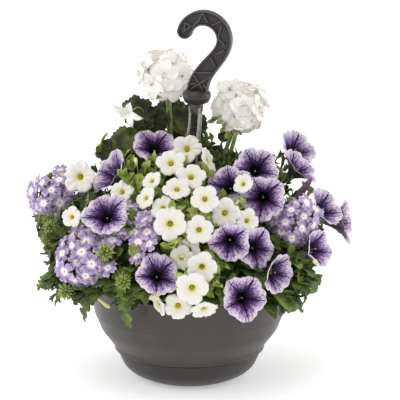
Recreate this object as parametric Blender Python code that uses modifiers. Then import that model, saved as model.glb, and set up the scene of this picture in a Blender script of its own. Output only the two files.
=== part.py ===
"""Flowering hanging basket: a plastic bowl with a clip-on saucer, a moulded hook on three wires,
and a mixed planting of geranium, petunia, calibrachoa and verbena.

Metres, +Z up, the front towards -Y. The origin is the middle of the saucer's flat underside.
"""
import itertools
import math
import random

import bmesh
import bpy
from mathutils import Matrix, Vector
from mathutils.bvhtree import BVHTree

# Driving dimensions of the pot
RIM_RADIUS = 0.139
POT_HEIGHT = 0.135
RIM_THICKNESS = 0.0034
SAUCER_HEIGHT = 0.037
SOIL_TOP = 0.123
TURN_STEPS = 24
DRAIN_AZIMUTHS = (45, 165, 285)
GAP = 0.0003

# Driving dimensions of the hanger
HANGER_LEAN = 0.0098
HOOK_TURN = math.radians(-19)
THROAT_RADIUS = 0.0182
HOOK_BAND = 0.0203
HOOK_BASE_BAND = 0.029
HOOK_DEPTH = 0.0094
HOOK_WEB = 0.0026
HOOK_RAIL = 0.0024
HOOK_STATIONS = 19
RIB_HALF = 0.0010
RIB_DEPTH = 0.0068
COLLAR_STEPS = 14
RING_OFFSET = 0.0109
RING_HEIGHT = 0.4638
COLLAR_BOTTOM = 0.3616
COLLAR_TOP = 0.393
COLLAR_RADIUS = 0.0191
WIRE_RADIUS = 0.0017
WIRE_SPREAD = 0.0092
WIRE_AZIMUTHS = (-100, 20, 140)
WIRE_HOLE_RADIUS = 0.1352
BORE_TOP = 0.3738
FLARE_TOP = 0.350

# The photograph's view: the planting is laid out along its sight lines
VIEW_ELEVATION = math.radians(15)
VIEW_DISTANCE = 6.0
PIXEL = 0.00135
PICTURE_MIDDLE = 200
BASE_PIXEL = (189.5, 373.1)

# The canopy that the blooms lie on, and the leafy hearts of the plants inside it
CANOPY_MIDDLE = Vector((0, 0, 0.182))
CANOPY_REACH = Vector((0.212, 0.170, 0.120))
HEART_LEVELS = (
    (0.116, 0.116, 0.1236),
    (0.119, 0.119, 0.1370),
    (0.144, 0.122, 0.1550),
    (0.130, 0.108, 0.1880),
    (0.080, 0.064, 0.2160),
)
HEART_TOP = 0.226
HEART_STEPS = 18
HEART_RELIEF = 0.012
CROWN_RADIUS = 0.0032
CROWN_DEPTH = 0.012
CROWN_REACH = 0.066
HEART_CORE_HEIGHT = 0.160
ROOT_SINK = 0.009

# name: species, first and last azimuth of its share of the pot, and whether a wire runs at each end
PLANTS = {
    "verbena_plant_left": ("verbena", -100, -40, True, False),
    "petunia_plant_front_left": ("petunia", -40, -12, False, False),
    "calibrachoa_plant_front": ("calibrachoa", -12, 20, False, True),
    "petunia_plant_front_right": ("petunia", 20, 48, True, False),
    "verbena_plant_right": ("verbena", 48, 70, False, False),
    "petunia_plant_right": ("petunia", 70, 105, False, False),
    "calibrachoa_plant_back": ("calibrachoa", 105, 140, False, True),
    "geranium_plant": ("geranium", 140, 215, True, False),
    "petunia_plant_left": ("petunia", 215, 260, False, True),
}

# Petunia blooms: pixel of the throat, lift off the canopy, turn, tilt, diameter and plant
PETUNIAS = {
    "petunia_1": (147, 147, 0.08, 10, 55, 0.057, "petunia_plant_left"),
    "petunia_2": (109, 172, 0.02, -70, 35, 0.054, "petunia_plant_left"),
    "petunia_3": (106, 215, 0.10, -15, 48, 0.059, "petunia_plant_left"),
    "petunia_4": (158, 275, 0.05, 15, 35, 0.059, "petunia_plant_front_left"),
    "petunia_5": (256, 168, 0.10, 10, 45, 0.060, "petunia_plant_front_right"),
    "petunia_6": (229, 186, 0.00, -25, 45, 0.054, "petunia_plant_front_right"),
    "petunia_7": (263, 198, 0.08, 0, 8, 0.060, "petunia_plant_front_right"),
    "petunia_8": (230, 242, 0.07, 0, -8, 0.054, "petunia_plant_front_right"),
    "petunia_9": (255, 248, 0.00, 30, 15, 0.055, "petunia_plant_front_right"),
    "petunia_10": (244, 298, 0.07, 20, 15, 0.060, "petunia_plant_front_right"),
    "petunia_11": (298, 147, 0.12, 50, 45, 0.050, "petunia_plant_right"),
    "petunia_12": (301, 166, 0.04, 75, 45, 0.052, "petunia_plant_right"),
    "petunia_13": (327, 207, 0.05, 60, 35, 0.050, "petunia_plant_right"),
    "petunia_14": (346, 221, 0.02, 80, 8, 0.055, "petunia_plant_right"),
    "petunia_15": (279, 274, 0.03, 50, -5, 0.050, "petunia_plant_front_right"),
    "petunia_16": (319, 248, 0.00, 55, 20, 0.045, "petunia_plant_right"),
}

# Blooms on the side away from the camera: azimuth, height, turn, tilt, diameter and plant
BACK_PETUNIAS = {
    "petunia_17": (112, 0.205, 115, 20, 0.057, "petunia_plant_right"),
    "petunia_18": (-118, 0.190, -120, 15, 0.057, "petunia_plant_left"),
    "petunia_19": (-138, 0.225, -140, 35, 0.055, "petunia_plant_left"),
    "petunia_20": (152, 0.175, 150, 10, 0.057, "geranium_plant"),
}

# Calibrachoa blooms by spray: pixel of the throat, lift, turn, tilt and diameter
SPRAYS = {
    "calibrachoa_1": [(187, 149, 0.10, -10, 35, 0.040), (171, 163, 0.12, -10, 45, 0.039)],
    "calibrachoa_2": [(208, 161, 0.06, 75, 25, 0.038), (191, 177, 0.12, 0, 52, 0.040)],
    "calibrachoa_3": [(177, 189, 0.12, -5, 55, 0.037), (152, 181, 0.10, -40, 40, 0.028)],
    "calibrachoa_4": [(205, 199, 0.12, 5, 30, 0.037), (243, 184, 0.12, -30, 35, 0.028)],
    "calibrachoa_5": [(225, 213, 0.12, 15, 20, 0.040), (247, 221, 0.06, 25, 20, 0.033)],
    "calibrachoa_6": [(170, 224, 0.12, -5, 8, 0.044), (163, 208, 0.05, -20, 40, 0.034)],
    "calibrachoa_7": [(199, 230, 0.11, 0, 10, 0.038), (202, 267, 0.10, 5, 5, 0.040)],
    "calibrachoa_8": [(182, 258, 0.04, -10, 5, 0.034), (189, 250, 0.05, -10, 10, 0.032)],
    "calibrachoa_9": [(192, 288, 0.12, 0, 0, 0.043), (204, 309, 0.06, 12, -40, 0.036)],
    "calibrachoa_10": [(178, 306, 0.10, -5, -15, 0.039), (158, 303, 0.06, -60, -20, 0.034)],
    "calibrachoa_11": [(80, 177, 0.08, -20, 15, 0.044), (72, 217, 0.08, -25, 20, 0.028)],
    "calibrachoa_12": [(146, 198, 0.09, -50, 30, 0.032), (122, 192, 0.00, -30, 35, 0.034)],
}
# Sprays away from the camera: azimuth, height, turn, tilt and diameter
BACK_SPRAYS = {
    "calibrachoa_13": [(128, 0.200, 125, 25, 0.040), (120, 0.235, 120, 45, 0.038),
                       (136, 0.165, 135, 5, 0.040)],
    "calibrachoa_14": [(180, 0.150, 180, 5, 0.040), (193, 0.172, 190, 15, 0.040),
                       (168, 0.180, 165, 20, 0.038)],
}
SPRAY_PLANTS = {
    "calibrachoa_11": "verbena_plant_left",
    "calibrachoa_12": "petunia_plant_left",
    "calibrachoa_13": "calibrachoa_plant_back",
    "calibrachoa_14": "geranium_plant",
}

# Verbena heads: pixel of the middle, lift, turn, tilt, radius of the head, florets, plant
VERBENAS = {
    "verbena_1": (55, 196, 0.02, -28, 32, 0.037, 12, "verbena_plant_left"),
    "verbena_2": (83, 254, 0.06, -20, 22, 0.039, 12, "verbena_plant_left"),
    "verbena_3": (143, 226, 0.06, -20, 40, 0.021, 6, "petunia_plant_left"),
    "verbena_4": (294, 221, 0.05, 22, 30, 0.032, 11, "verbena_plant_right"),
}
BACK_VERBENAS = {
    "verbena_5": (168, 0.232, 165, 50, 0.031, 9, "geranium_plant"),
}

# Geranium heads: pixel of the middle, depth behind the axis, turn, tilt, radius, florets
GERANIUMS = {
    "geranium_1": (166, 76, 0.045, -8, 60, 0.033, 10),
    "geranium_2": (238, 108, 0.050, 15, 55, 0.033, 10),
    "geranium_3": (240, 112, 0.135, 160, 55, 0.028, 7),
}

# Large leaves set by eye: plant, pixels of the foot and tip, lifts of the two, width, arch and kind;
# a round leaf has the depth of its tip behind the pot's axis in place of the tip's lift
LARGE_LEAVES = (
    ("verbena_plant_left", (88, 280), (38, 289), 0.00, 0.06, 0.030, 0.20, "frond"),
    ("verbena_plant_left", (92, 280), (85, 322), 0.00, 0.10, 0.034, 0.30, "frond"),
    ("verbena_plant_left", (84, 276), (55, 307), 0.00, 0.10, 0.030, 0.25, "frond"),
    ("verbena_plant_left", (66, 228), (46, 278), 0.00, 0.04, 0.026, 0.12, "frond"),
    ("verbena_plant_left", (66, 222), (32, 216), 0.02, 0.02, 0.028, 0.06, "frond"),
    ("petunia_plant_front_left", (122, 278), (130, 328), 0.00, 0.08, 0.034, 0.32, "frond"),
    ("petunia_plant_front_left", (140, 280), (146, 306), 0.00, 0.10, 0.026, 0.15, "oval"),
    ("petunia_plant_front_right", (222, 276), (216, 309), 0.02, 0.12, 0.032, 0.15, "oval"),
    ("petunia_plant_front_right", (268, 255), (263, 290), 0.00, 0.08, 0.034, 0.15, "oval"),
    ("petunia_plant_front_right", (280, 276), (291, 312), 0.00, 0.10, 0.028, 0.15, "oval"),
    ("verbena_plant_right", (293, 262), (318, 279), 0.00, 0.05, 0.030, 0.10, "oval"),
    ("verbena_plant_right", (299, 245), (308, 262), 0.00, 0.05, 0.030, 0.10, "oval"),
    ("petunia_plant_right", (290, 192), (312, 178), 0.04, 0.10, 0.010, 0.06, "oval"),
    ("geranium_plant", (160, 150), (133, 97), 0.00, 0.050, 0.050, 0.0, "round"),
    ("geranium_plant", (150, 160), (118, 129), 0.00, 0.030, 0.046, 0.0, "round"),
    ("geranium_plant", (172, 160), (151, 106), 0.00, 0.075, 0.044, 0.0, "round"),
    ("geranium_plant", (186, 160), (184, 105), 0.00, 0.095, 0.050, 0.0, "round"),
    ("geranium_plant", (215, 160), (226, 132), 0.00, 0.110, 0.046, 0.0, "round"),
    ("geranium_plant", (110, 160), (88, 146), 0.00, 0.060, 0.040, 0.0, "round"),
)

# Leaves placed by rule: how many to each ten degrees of the pot, length, width and kind
LEAF_RULES = {
    "verbena": (1.6, 0.056, 0.032, "frond"),
    "petunia": (2.6, 0.056, 0.030, "small"),
    "calibrachoa": (2.7, 0.046, 0.016, "small"),
    "geranium": (1.0, 0.062, 0.050, "round"),
}
BLADE_THICKNESS = 0.0014
PETIOLE_RADIUS = 0.0012
PETUNIA_NOTCH = 0.95
CALIBRACHOA_NOTCH = 0.92
LEAF_TRIES = 8

# Where a leaf by rule may start: how far from its plant's edges, how high and how far in from the canopy;
# then its lean, length and width, and how far left and right its tip may reach
LEAF_EDGE = 0.08
LEAF_LOW = 0.142
LEAF_BAND = 0.078
LEAF_START = 0.8
LEAF_SPREADS = ((-0.5, 0.5), (-0.5, 0.5), (-0.35, 0.45))
LEAF_LENGTHS = (0.8, 1.15)
LEAF_WIDTHS = (0.85, 1.1)
LEAF_SPAN = (-0.200, 0.170)
ROUND_LEAF_TILT = 42
ROUND_LEAF_CORNERS = 12
ROUND_LEAF_DISH = 0.0035
LARGE_LEAF_TURNS = (-14, 16, 2)
LEAF_SHRINKS = (1, 0.92, 0.84, 0.76, 0.68)
LEAF_ASIDES = ((0, 0, 0), (0.012, 0, 0), (-0.012, 0, 0), (0, -0.012, 0), (0, 0.012, 0), (0, 0, 0.010))
FOOT_RISE = 0.010
RULE_SAG = 0.08

# Moves that a flower may make to clear its neighbours: along its sight line, and aside and up
NUDGE_STEPS = (0, -0.005, 0.005, -0.010, 0.010, -0.015, -0.020, 0.015, -0.026, -0.032)
NUDGE_ASIDE = ((0, 0), (0.003, 0), (-0.003, 0), (0, 0.003), (0, -0.003), (0.006, 0), (-0.006, 0),
               (0, 0.006), (0, -0.006), (0.010, 0), (-0.010, 0), (0, 0.010), (0, -0.010))

# How deep a bloom and a head are behind their faces, as shares of diameter and radius
PETUNIA_DEPTH = 0.50
TRUMPET_DEPTH = 0.48
HEAD_STALK = 1.15
HEAD_INSET = 0.02

# Radii of stems
GERANIUM_STEM = 0.0022
FLOWER_STEM = 0.0016
SPRAY_STEM = 0.0014

# Ways for a stem: how far below its flower it starts, and how it bows
STEM_DROPS = (0.030, 0.045, 0.020, 0.060, 0.010, 0.085)
STEM_LEADS = (0.012, 0.003)
STEM_BOWS = ((0, 0, 0), (0, 0, 0.010), (0.010, 0, 0), (-0.010, 0, 0), (0, -0.010, 0), (0, 0.010, 0),
             (0, 0, -0.012), (0.020, 0, 0), (-0.020, 0, 0), (0, -0.020, 0), (0, 0, 0.022))


# Materials and collections

def linear(value):
    """One sRGB channel, 0 to 255, as linear light."""
    share = value / 255
    return share / 12.92 if share <= 0.04045 else ((share + 0.055) / 1.055) ** 2.4


def material(name, colour, roughness, metallic=0.0):
    """A Principled material from an sRGB colour."""
    finish = bpy.data.materials.new(name)
    finish.use_nodes = True
    surface = finish.node_tree.nodes["Principled BSDF"]
    surface.inputs["Base Color"].default_value = (*[linear(value) for value in colour], 1)
    surface.inputs["Roughness"].default_value = roughness
    surface.inputs["Metallic"].default_value = metallic
    return finish


def add_object(name, mesh, group):
    """A new object in one of the two collections."""
    thing = bpy.data.objects.new(name, mesh)
    group.objects.link(thing)
    return thing


def finished(thing, finish):
    """Gives an object its material and smooth round faces."""
    thing.data.materials.clear()
    thing.data.materials.append(finish)
    thing.data.shade_smooth()
    thing.data.set_sharp_from_angle(angle=math.radians(40))
    return thing


# Shapes

def loft(rings):
    """A closed skin through rings of points; a ring of one point is a tip."""
    skin = bmesh.new()
    rows = [[skin.verts.new(point) for point in ring] for ring in rings]
    for low, high in zip(rows, rows[1:]):
        count = max(len(low), len(high))
        for i in range(count):
            j = (i + 1) % count
            a, b = low[i % len(low)], low[j % len(low)]
            c, d = high[j % len(high)], high[i % len(high)]
            if len(low) == 1 or len(high) == 1:
                skin.faces.new(list(dict.fromkeys((a, b, c, d))))
            elif (a.co - c.co).length <= (b.co - d.co).length:
                skin.faces.new((a, b, c))
                skin.faces.new((a, c, d))
            else:
                skin.faces.new((a, b, d))
                skin.faces.new((b, c, d))
    for end in (rows[0], rows[-1]):
        if len(end) > 2:
            skin.faces.new(end)
    bmesh.ops.recalc_face_normals(skin, faces=skin.faces)
    mesh = bpy.data.meshes.new("loft")
    skin.to_mesh(mesh)
    skin.free()
    return mesh


def turned(name, profile, group):
    """A solid of revolution; the profile runs down its outer side, as (radius, height) pairs."""
    skin = bmesh.new()
    points = [skin.verts.new((radius, 0, height)) for radius, height in profile]
    for a, b in zip(points, points[1:]):
        skin.edges.new((a, b))
    mesh = bpy.data.meshes.new(name)
    skin.to_mesh(mesh)
    skin.free()
    thing = add_object(name, mesh, group)
    screw = thing.modifiers.new("Turn", "SCREW")
    screw.steps = TURN_STEPS
    screw.render_steps = TURN_STEPS
    screw.use_merge_vertices = True
    screw.merge_threshold = 0.00005
    return thing


def line_through(curve, points):
    """A straight-sided spline through points, added to a curve."""
    spline = curve.splines.new("POLY")
    spline.points.add(len(points) - 1)
    for slot, point in zip(spline.points, points):
        slot.co = (*point, 1)
    return spline


def solid_of(name, curve, group):
    """A curve's solid as a mesh object, with its caps welded on."""
    guide = add_object(name + "_guide", curve, group)
    bpy.context.view_layer.update()
    mesh = bpy.data.meshes.new_from_object(guide.evaluated_get(bpy.context.evaluated_depsgraph_get()))
    bpy.data.objects.remove(guide)
    skin = bmesh.new()
    skin.from_mesh(mesh)
    bmesh.ops.remove_doubles(skin, verts=skin.verts, dist=0.00001)
    bmesh.ops.recalc_face_normals(skin, faces=skin.faces)
    skin.to_mesh(mesh)
    skin.free()
    return add_object(name, mesh, group)


def tube(name, points, radius, group, sides=2):
    """A round rod along points."""
    curve = bpy.data.curves.new(name, "CURVE")
    curve.dimensions = "3D"
    curve.bevel_depth = radius
    curve.bevel_resolution = sides
    curve.use_fill_caps = True
    line_through(curve, points)
    return solid_of(name, curve, group)


def plate(name, outline, thickness, group):
    """A flat outline in the hook's own plane, given thickness."""
    curve = bpy.data.curves.new(name, "CURVE")
    curve.dimensions = "2D"
    curve.fill_mode = "BOTH"
    curve.extrude = thickness / 2
    line_through(curve, [(*point, 0) for point in outline]).use_cyclic_u = True
    return solid_of(name, curve, group)


def fuse(thing, pieces, solver="MANIFOLD", operation="UNION"):
    """Joins or cuts a thing with every piece in a list, and removes the pieces."""
    if not pieces:
        return thing
    group = bpy.data.collections.new("pieces")
    bpy.context.scene.collection.children.link(group)
    for piece in pieces:
        for home in list(piece.users_collection):
            home.objects.unlink(piece)
        group.objects.link(piece)
    join = thing.modifiers.new("Join", "BOOLEAN")
    join.operation = operation
    join.operand_type = "COLLECTION"
    join.collection = group
    join.solver = solver
    bpy.context.view_layer.update()
    mesh = bpy.data.meshes.new_from_object(thing.evaluated_get(bpy.context.evaluated_depsgraph_get()))
    thing.modifiers.clear()
    thing.data = merged_flats(mesh)
    for piece in pieces:
        bpy.data.objects.remove(piece)
    bpy.data.collections.remove(group)
    return thing


def merged_flats(mesh):
    """Takes out the cuts that a union leaves across flat faces, and any loose scrap."""
    skin = bmesh.new()
    skin.from_mesh(mesh)
    bmesh.ops.dissolve_limit(skin, angle_limit=math.radians(0.3), verts=skin.verts, edges=skin.edges)
    bmesh.ops.triangulate(skin, faces=skin.faces)
    bodies = []
    waiting = set(skin.verts)
    while waiting:
        body = {waiting.pop()}
        edge_of = list(body)
        while edge_of:
            for edge in edge_of.pop().link_edges:
                for vert in edge.verts:
                    if vert not in body:
                        body.add(vert)
                        edge_of.append(vert)
        waiting -= body
        bodies.append(body)
    bodies.sort(key=len)
    for scrap in bodies[:-1]:
        print("scrap of", len(scrap), "corners dropped from", mesh.name)
        bmesh.ops.delete(skin, geom=list(scrap), context="VERTS")
    skin.to_mesh(mesh)
    skin.free()
    return mesh


def tree_of(thing):
    """A search tree over an object's faces, for finding what it crosses."""
    bpy.context.view_layer.update()
    skin = bmesh.new()
    skin.from_object(thing, bpy.context.evaluated_depsgraph_get())
    skin.transform(thing.matrix_world)
    tree = BVHTree.FromBMesh(skin)
    skin.free()
    return tree


# Places

def around(azimuth, radius, height):
    """A point round the pot's axis; azimuth 0 is the front and 90 is the right."""
    angle = math.radians(azimuth)
    return Vector((radius * math.sin(angle), -radius * math.cos(angle), height))


def sight_line(pixel):
    """The eye, and the direction in which it sees a pixel."""
    up = Vector((0, math.sin(VIEW_ELEVATION), math.cos(VIEW_ELEVATION)))
    forward = Vector((0, math.cos(VIEW_ELEVATION), -math.sin(VIEW_ELEVATION)))
    right = Vector((1, 0, 0))
    aim = right * (PICTURE_MIDDLE - BASE_PIXEL[0]) * PIXEL
    aim = aim + up * (BASE_PIXEL[1] - PICTURE_MIDDLE) * PIXEL
    eye = aim - forward * VIEW_DISTANCE
    across = (pixel[0] - PICTURE_MIDDLE) * PIXEL
    down = (pixel[1] - PICTURE_MIDDLE) * PIXEL
    return eye, (forward * VIEW_DISTANCE + right * across - up * down).normalized()


def at_depth(pixel, depth):
    """The point of a sight line at a given distance behind the pot's axis."""
    eye, line = sight_line(pixel)
    return eye + line * ((depth - eye.y) / line.y)


def on_canopy(pixel, lift):
    """Where a sight line meets the canopy, or passes nearest to it."""
    eye, line = sight_line(pixel)
    reach = CANOPY_REACH * (1 + lift)
    near = Vector([(eye[i] - CANOPY_MIDDLE[i]) / reach[i] for i in range(3)])
    step = Vector([line[i] / reach[i] for i in range(3)])
    middle = -near.dot(step) / step.dot(step)
    spare = middle ** 2 - (near.dot(near) - 1) / step.dot(step)
    return eye + line * (middle - math.sqrt(max(spare, 0)))


def on_back(azimuth, height):
    """A point of the canopy by azimuth and height."""
    level = max(-1, min(1, (height - CANOPY_MIDDLE.z) / CANOPY_REACH.z))
    spread = math.sqrt(1 - level ** 2)
    angle = math.radians(azimuth)
    return Vector((CANOPY_REACH.x * spread * math.sin(angle),
                   -CANOPY_REACH.y * spread * math.cos(angle), height))


def facing(turn, tilt):
    """The way a bloom looks: turn to the right of the front, tilt above level."""
    turn, tilt = math.radians(turn), math.radians(tilt)
    return Vector((math.sin(turn) * math.cos(tilt), -math.cos(turn) * math.cos(tilt), math.sin(tilt)))


def pose(point, direction, spin=0.0):
    """The matrix that takes a bloom modelled along +Z to its place."""
    turn = direction.to_track_quat("Z", "Y").to_matrix().to_4x4()
    return Matrix.Translation(point) @ turn @ Matrix.Rotation(spin, 4, "Z")


# Flowers, each modelled facing +Z with its throat or middle at the origin

def lobed_ring(radius, height, lobes, notch, ripple=0.0, corners=2):
    """A ring with rounded lobes; corners is how many points each lobe has, its gap among them."""
    points = []
    for i in range(lobes * corners):
        angle = 2 * math.pi * i / (lobes * corners)
        gap = i % corners == 0
        reach = radius * (notch if gap else 1)
        rise = height + (ripple if gap else -ripple)
        points.append(Vector((reach * math.cos(angle), reach * math.sin(angle), rise)))
    return points


def trumpet(radius, depth, tube_radius, foot_radius, notch):
    """A flat-faced trumpet of five lobes, closed from its throat round the edge to its foot."""
    return [
        [Vector((0, 0, -depth * 0.34))],
        lobed_ring(radius * 0.21, 0, 5, 1),
        lobed_ring(radius, radius * 0.10, 5, notch, -radius * 0.05),
        lobed_ring(tube_radius, -depth * 0.30, 5, 1),
        lobed_ring(foot_radius, -depth, 5, 1),
    ]


def small_trumpet(radius, depth, tube_radius, notch):
    """A calibrachoa bloom, which ends in a point inside its stem."""
    return [
        [Vector((0, 0, -depth * 0.30))],
        lobed_ring(radius * 0.24, 0, 5, 1),
        lobed_ring(radius, radius * 0.10, 5, notch, -radius * 0.05),
        lobed_ring(tube_radius, -depth * 0.55, 5, 1),
        [Vector((0, 0, -depth))],
    ]


def floret(radius, depth, gap):
    """A floret of five petals that narrows to a point behind."""
    return [
        [Vector((0, 0, 0))],
        lobed_ring(radius, radius * 0.12, 5, gap),
        [Vector((0, 0, -depth))],
    ]


def placed_loft(name, rings, matrix, group):
    """A loft put straight in its place."""
    mesh = loft([[matrix @ point for point in ring] for ring in rings])
    return add_object(name, mesh, group)


def cap_directions(count, reach):
    """Directions spread evenly over the cap of a ball round +Z, by the golden angle."""
    golden = math.pi * (3 - math.sqrt(5))
    floor = math.cos(math.radians(reach))
    for i in range(count):
        height = 1 - (i + 0.5) / count * (1 - floor)
        side = math.sqrt(1 - height ** 2)
        yield Vector((side * math.cos(golden * i), side * math.sin(golden * i), height))


HEADS = {
    "verbena": {"floret": 0.0124, "gap": 0.62, "reach": 100, "squash": 0.78},
    "geranium": {"floret": 0.0180, "gap": 0.70, "reach": 118, "squash": 0.88},
}


def flower_head(name, species, point, direction, radius, count, group):
    """A ball of florets on a green middle, with a short stalk behind."""
    shape = HEADS[species]
    place = pose(point, direction)
    squash = Matrix.Diagonal((1, 1, shape["squash"], 1))
    ball = bmesh.new()
    bmesh.ops.create_icosphere(ball, subdivisions=1, radius=radius * 0.80, matrix=place @ squash)
    mesh = bpy.data.meshes.new(name)
    ball.to_mesh(mesh)
    ball.free()
    head = add_object(name, mesh, group)
    stalk = [point, point - direction * radius * HEAD_STALK]
    pieces = [tube(name + "_stalk", stalk, FLOWER_STEM, group, 0)]
    for i, way in enumerate(cap_directions(count, shape["reach"])):
        seat = Vector((way.x * radius, way.y * radius, way.z * radius * shape["squash"]))
        rings = floret(shape["floret"], radius * 0.42, shape["gap"])
        matrix = place @ pose(seat, way, i * 0.7)
        pieces.append(placed_loft(f"{name}_floret_{i}", rings, matrix, group))
    return fuse(head, pieces)


# Leaves

LEAF_SHAPES = {
    "oval": ((0.0, 0.10), (0.50, 1.0), (0.80, 0.70)),
    "small": ((0.0, 0.12), (0.52, 1.0)),
    "frond": ((0.0, 0.10), (0.38, 0.95), (0.44, 0.40), (0.64, 1.0), (0.70, 0.34), (0.86, 0.55)),
    "round": ((0.0, 0.07), (0.45, 0.07)),
}


def blade_rings(foot, tip, width, kind, sag):
    """Four-cornered sections of a leaf from foot to tip, bent down by sag of its length."""
    along = tip - foot
    length = along.length
    side = along.cross(Vector((0, 0, 1)))
    side = side.normalized() if side.length > 0.0001 else Vector((1, 0, 0))
    up = side.cross(along).normalized()
    rings = []
    for share, breadth in LEAF_SHAPES[kind]:
        middle = foot + along * share + up * (4 * sag * length * share * (1 - share))
        half = side * max(breadth * width / 2, 0.0011)
        thick = up * BLADE_THICKNESS / 2
        fold = up * breadth * width * 0.10
        rings.append([middle - half + fold, middle + thick, middle + half + fold, middle - thick])
    rings.append([tip])
    return rings


def leaf(name, foot, tip, width, kind, sag, turn, group):
    """One leaf; a round one is a scalloped disc on a stalk, facing its turn."""
    if kind != "round":
        return add_object(name, loft(blade_rings(foot, tip, width, kind, sag)), group)
    along = (tip - foot).normalized()
    middle = tip - along * width * 0.45
    face = facing(turn, ROUND_LEAF_TILT)
    edge = []
    for i in range(ROUND_LEAF_CORNERS):
        angle = 2 * math.pi * i / ROUND_LEAF_CORNERS
        reach = width / 2 * (1 if i % 2 else 0.90)
        edge.append(Vector((reach * math.cos(angle), reach * math.sin(angle), ROUND_LEAF_DISH)))
    thick = Vector((0, 0, BLADE_THICKNESS / 2))
    disc = placed_loft(name, [[thick], edge, [-thick]], pose(middle, face), group)
    behind = middle - along * width * 0.10 - face * 0.004
    stalk = tube(name + "_stalk", [foot, behind, middle], PETIOLE_RADIUS, group, 0)
    return fuse(disc, [stalk])


# The made parts

def make_bowl(group, finish):
    """The bowl: one wall from the rim's flange down to a foot that stands in the saucer."""
    inside = (
        (0.0, 0.0052), (0.0550, 0.0052), (0.0850, 0.0218), (0.0885, 0.0325), (0.1008, 0.0478),
        (0.1243, 0.0868), (0.1306, POT_HEIGHT),
    )
    outside = (
        (RIM_RADIUS, POT_HEIGHT), (RIM_RADIUS, POT_HEIGHT - RIM_THICKNESS),
        (0.1324, POT_HEIGHT - RIM_THICKNESS), (0.1305, 0.1060), (0.1265, 0.0860), (0.1190, 0.0676),
        (0.1030, 0.0455), (0.0990, 0.0390), (0.0921, 0.0374), (0.0905, 0.0325), (0.0917, 0.0288),
        (0.0870, 0.0200), (0.0560, 0.0028), (0.0, 0.0028),
    )
    bowl = turned("bowl", inside + outside, group)
    cutters = []
    for azimuth in WIRE_AZIMUTHS:
        hole = around(azimuth, WIRE_HOLE_RADIUS, POT_HEIGHT)
        cutters.append(drill(hole, WIRE_RADIUS + 0.0005, 0.012))
    for azimuth in DRAIN_AZIMUTHS:
        cutters.append(drill(around(azimuth, 0.035, 0.004), 0.004, 0.012))
    return finished(fuse(bowl, cutters, "MANIFOLD", "DIFFERENCE"), finish)


def drill(point, radius, depth):
    """A round cutter centred on a point, along Z."""
    cutters = bpy.data.collections["cutters"]
    skin = bmesh.new()
    bmesh.ops.create_cone(skin, cap_ends=True, segments=8, radius1=radius, radius2=radius,
                          depth=depth, matrix=Matrix.Translation(point))
    mesh = bpy.data.meshes.new("drill")
    skin.to_mesh(mesh)
    skin.free()
    cutter = add_object("drill", mesh, cutters)
    cutter.hide_render = True
    cutter.display_type = "WIRE"
    return cutter


def make_saucer(group, finish):
    """The saucer, whose lip closes under the bead on the bowl."""
    profile = (
        (0.0, 0.0025), (0.0575, 0.0025), (0.0882, 0.0196), (0.0922, 0.0288), (0.0912, 0.0325),
        (0.0932, SAUCER_HEIGHT), (0.0961, SAUCER_HEIGHT), (0.0938, 0.0290), (0.0880, 0.0170),
        (0.0790, 0.0085), (0.0610, 0.0), (0.0, 0.0),
    )
    return finished(turned("saucer", profile, group), finish)


def make_compost(group, finish):
    """The compost, shaped by the bowl's inside, with a plain hole for each plant's crown."""
    profile = (
        (0.0, SOIL_TOP), (0.1286, SOIL_TOP), (0.1237, 0.0870), (0.1002, 0.0483),
        (0.0880, 0.0330), (0.0844, 0.0222), (0.0547, 0.0056), (0.0, 0.0056),
    )
    compost = turned("compost", profile, group)
    cutters = []
    for name in PLANTS:
        foot = crown_foot(name)
        foot.z = SOIL_TOP
        cutters.append(drill(foot, CROWN_RADIUS + 0.0005, 2 * CROWN_DEPTH + 0.002))
    return finished(fuse(compost, cutters, "MANIFOLD", "DIFFERENCE"), finish)


def hook_middle(share):
    """The middle line of the hook in its own plane, and its width there, by share of its length."""
    reach = THROAT_RADIUS + HOOK_BAND / 2
    arc_share = 0.62
    if share < arc_share:
        angle = math.radians(163 - 163 * share / arc_share)
        point = Vector((RING_OFFSET + reach * math.cos(angle), RING_HEIGHT + reach * math.sin(angle)))
        return point, HOOK_BAND
    part = (share - arc_share) / (1 - arc_share)
    start = Vector((RING_OFFSET + reach, RING_HEIGHT))
    corners = (start, start - Vector((0, 0.026)), Vector((0.001, COLLAR_TOP + 0.030)),
               Vector((0.001, COLLAR_TOP - 0.006)))
    rest = 1 - part
    weights = (rest ** 3, 3 * rest ** 2 * part, 3 * rest * part ** 2, part ** 3)
    point = sum((corner * weight for corner, weight in zip(corners, weights)), Vector((0, 0)))
    return point, HOOK_BAND + (HOOK_BASE_BAND - HOOK_BAND) * part ** 1.5


def hook_edges(inset, count, end=1.0):
    """The hook's outer and inner edges, each moved in by inset, as far as a share of its length."""
    outer, inner = [], []
    for i in range(count):
        share = end * i / (count - 1)
        point, width = hook_middle(share)
        ahead = hook_middle(min(share + 0.01, 1))[0] - hook_middle(max(share - 0.01, 0))[0]
        ahead.normalize()
        normal = Vector((-ahead.y, ahead.x))
        half = width / 2 - inset
        outer.append(point + normal * half)
        inner.append(point - normal * half)
    return outer, inner


def hook_tip(outer, inner):
    """The round end that joins the inner edge to the outer one at the hook's tip."""
    middle = (outer[0] + inner[0]) / 2
    half = (outer[0] - inner[0]) / 2
    ahead = Vector((half.y, -half.x))
    return [middle - half * math.cos(angle) - ahead * math.sin(angle)
            for angle in (math.radians(45), math.radians(90), math.radians(135))]


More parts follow.
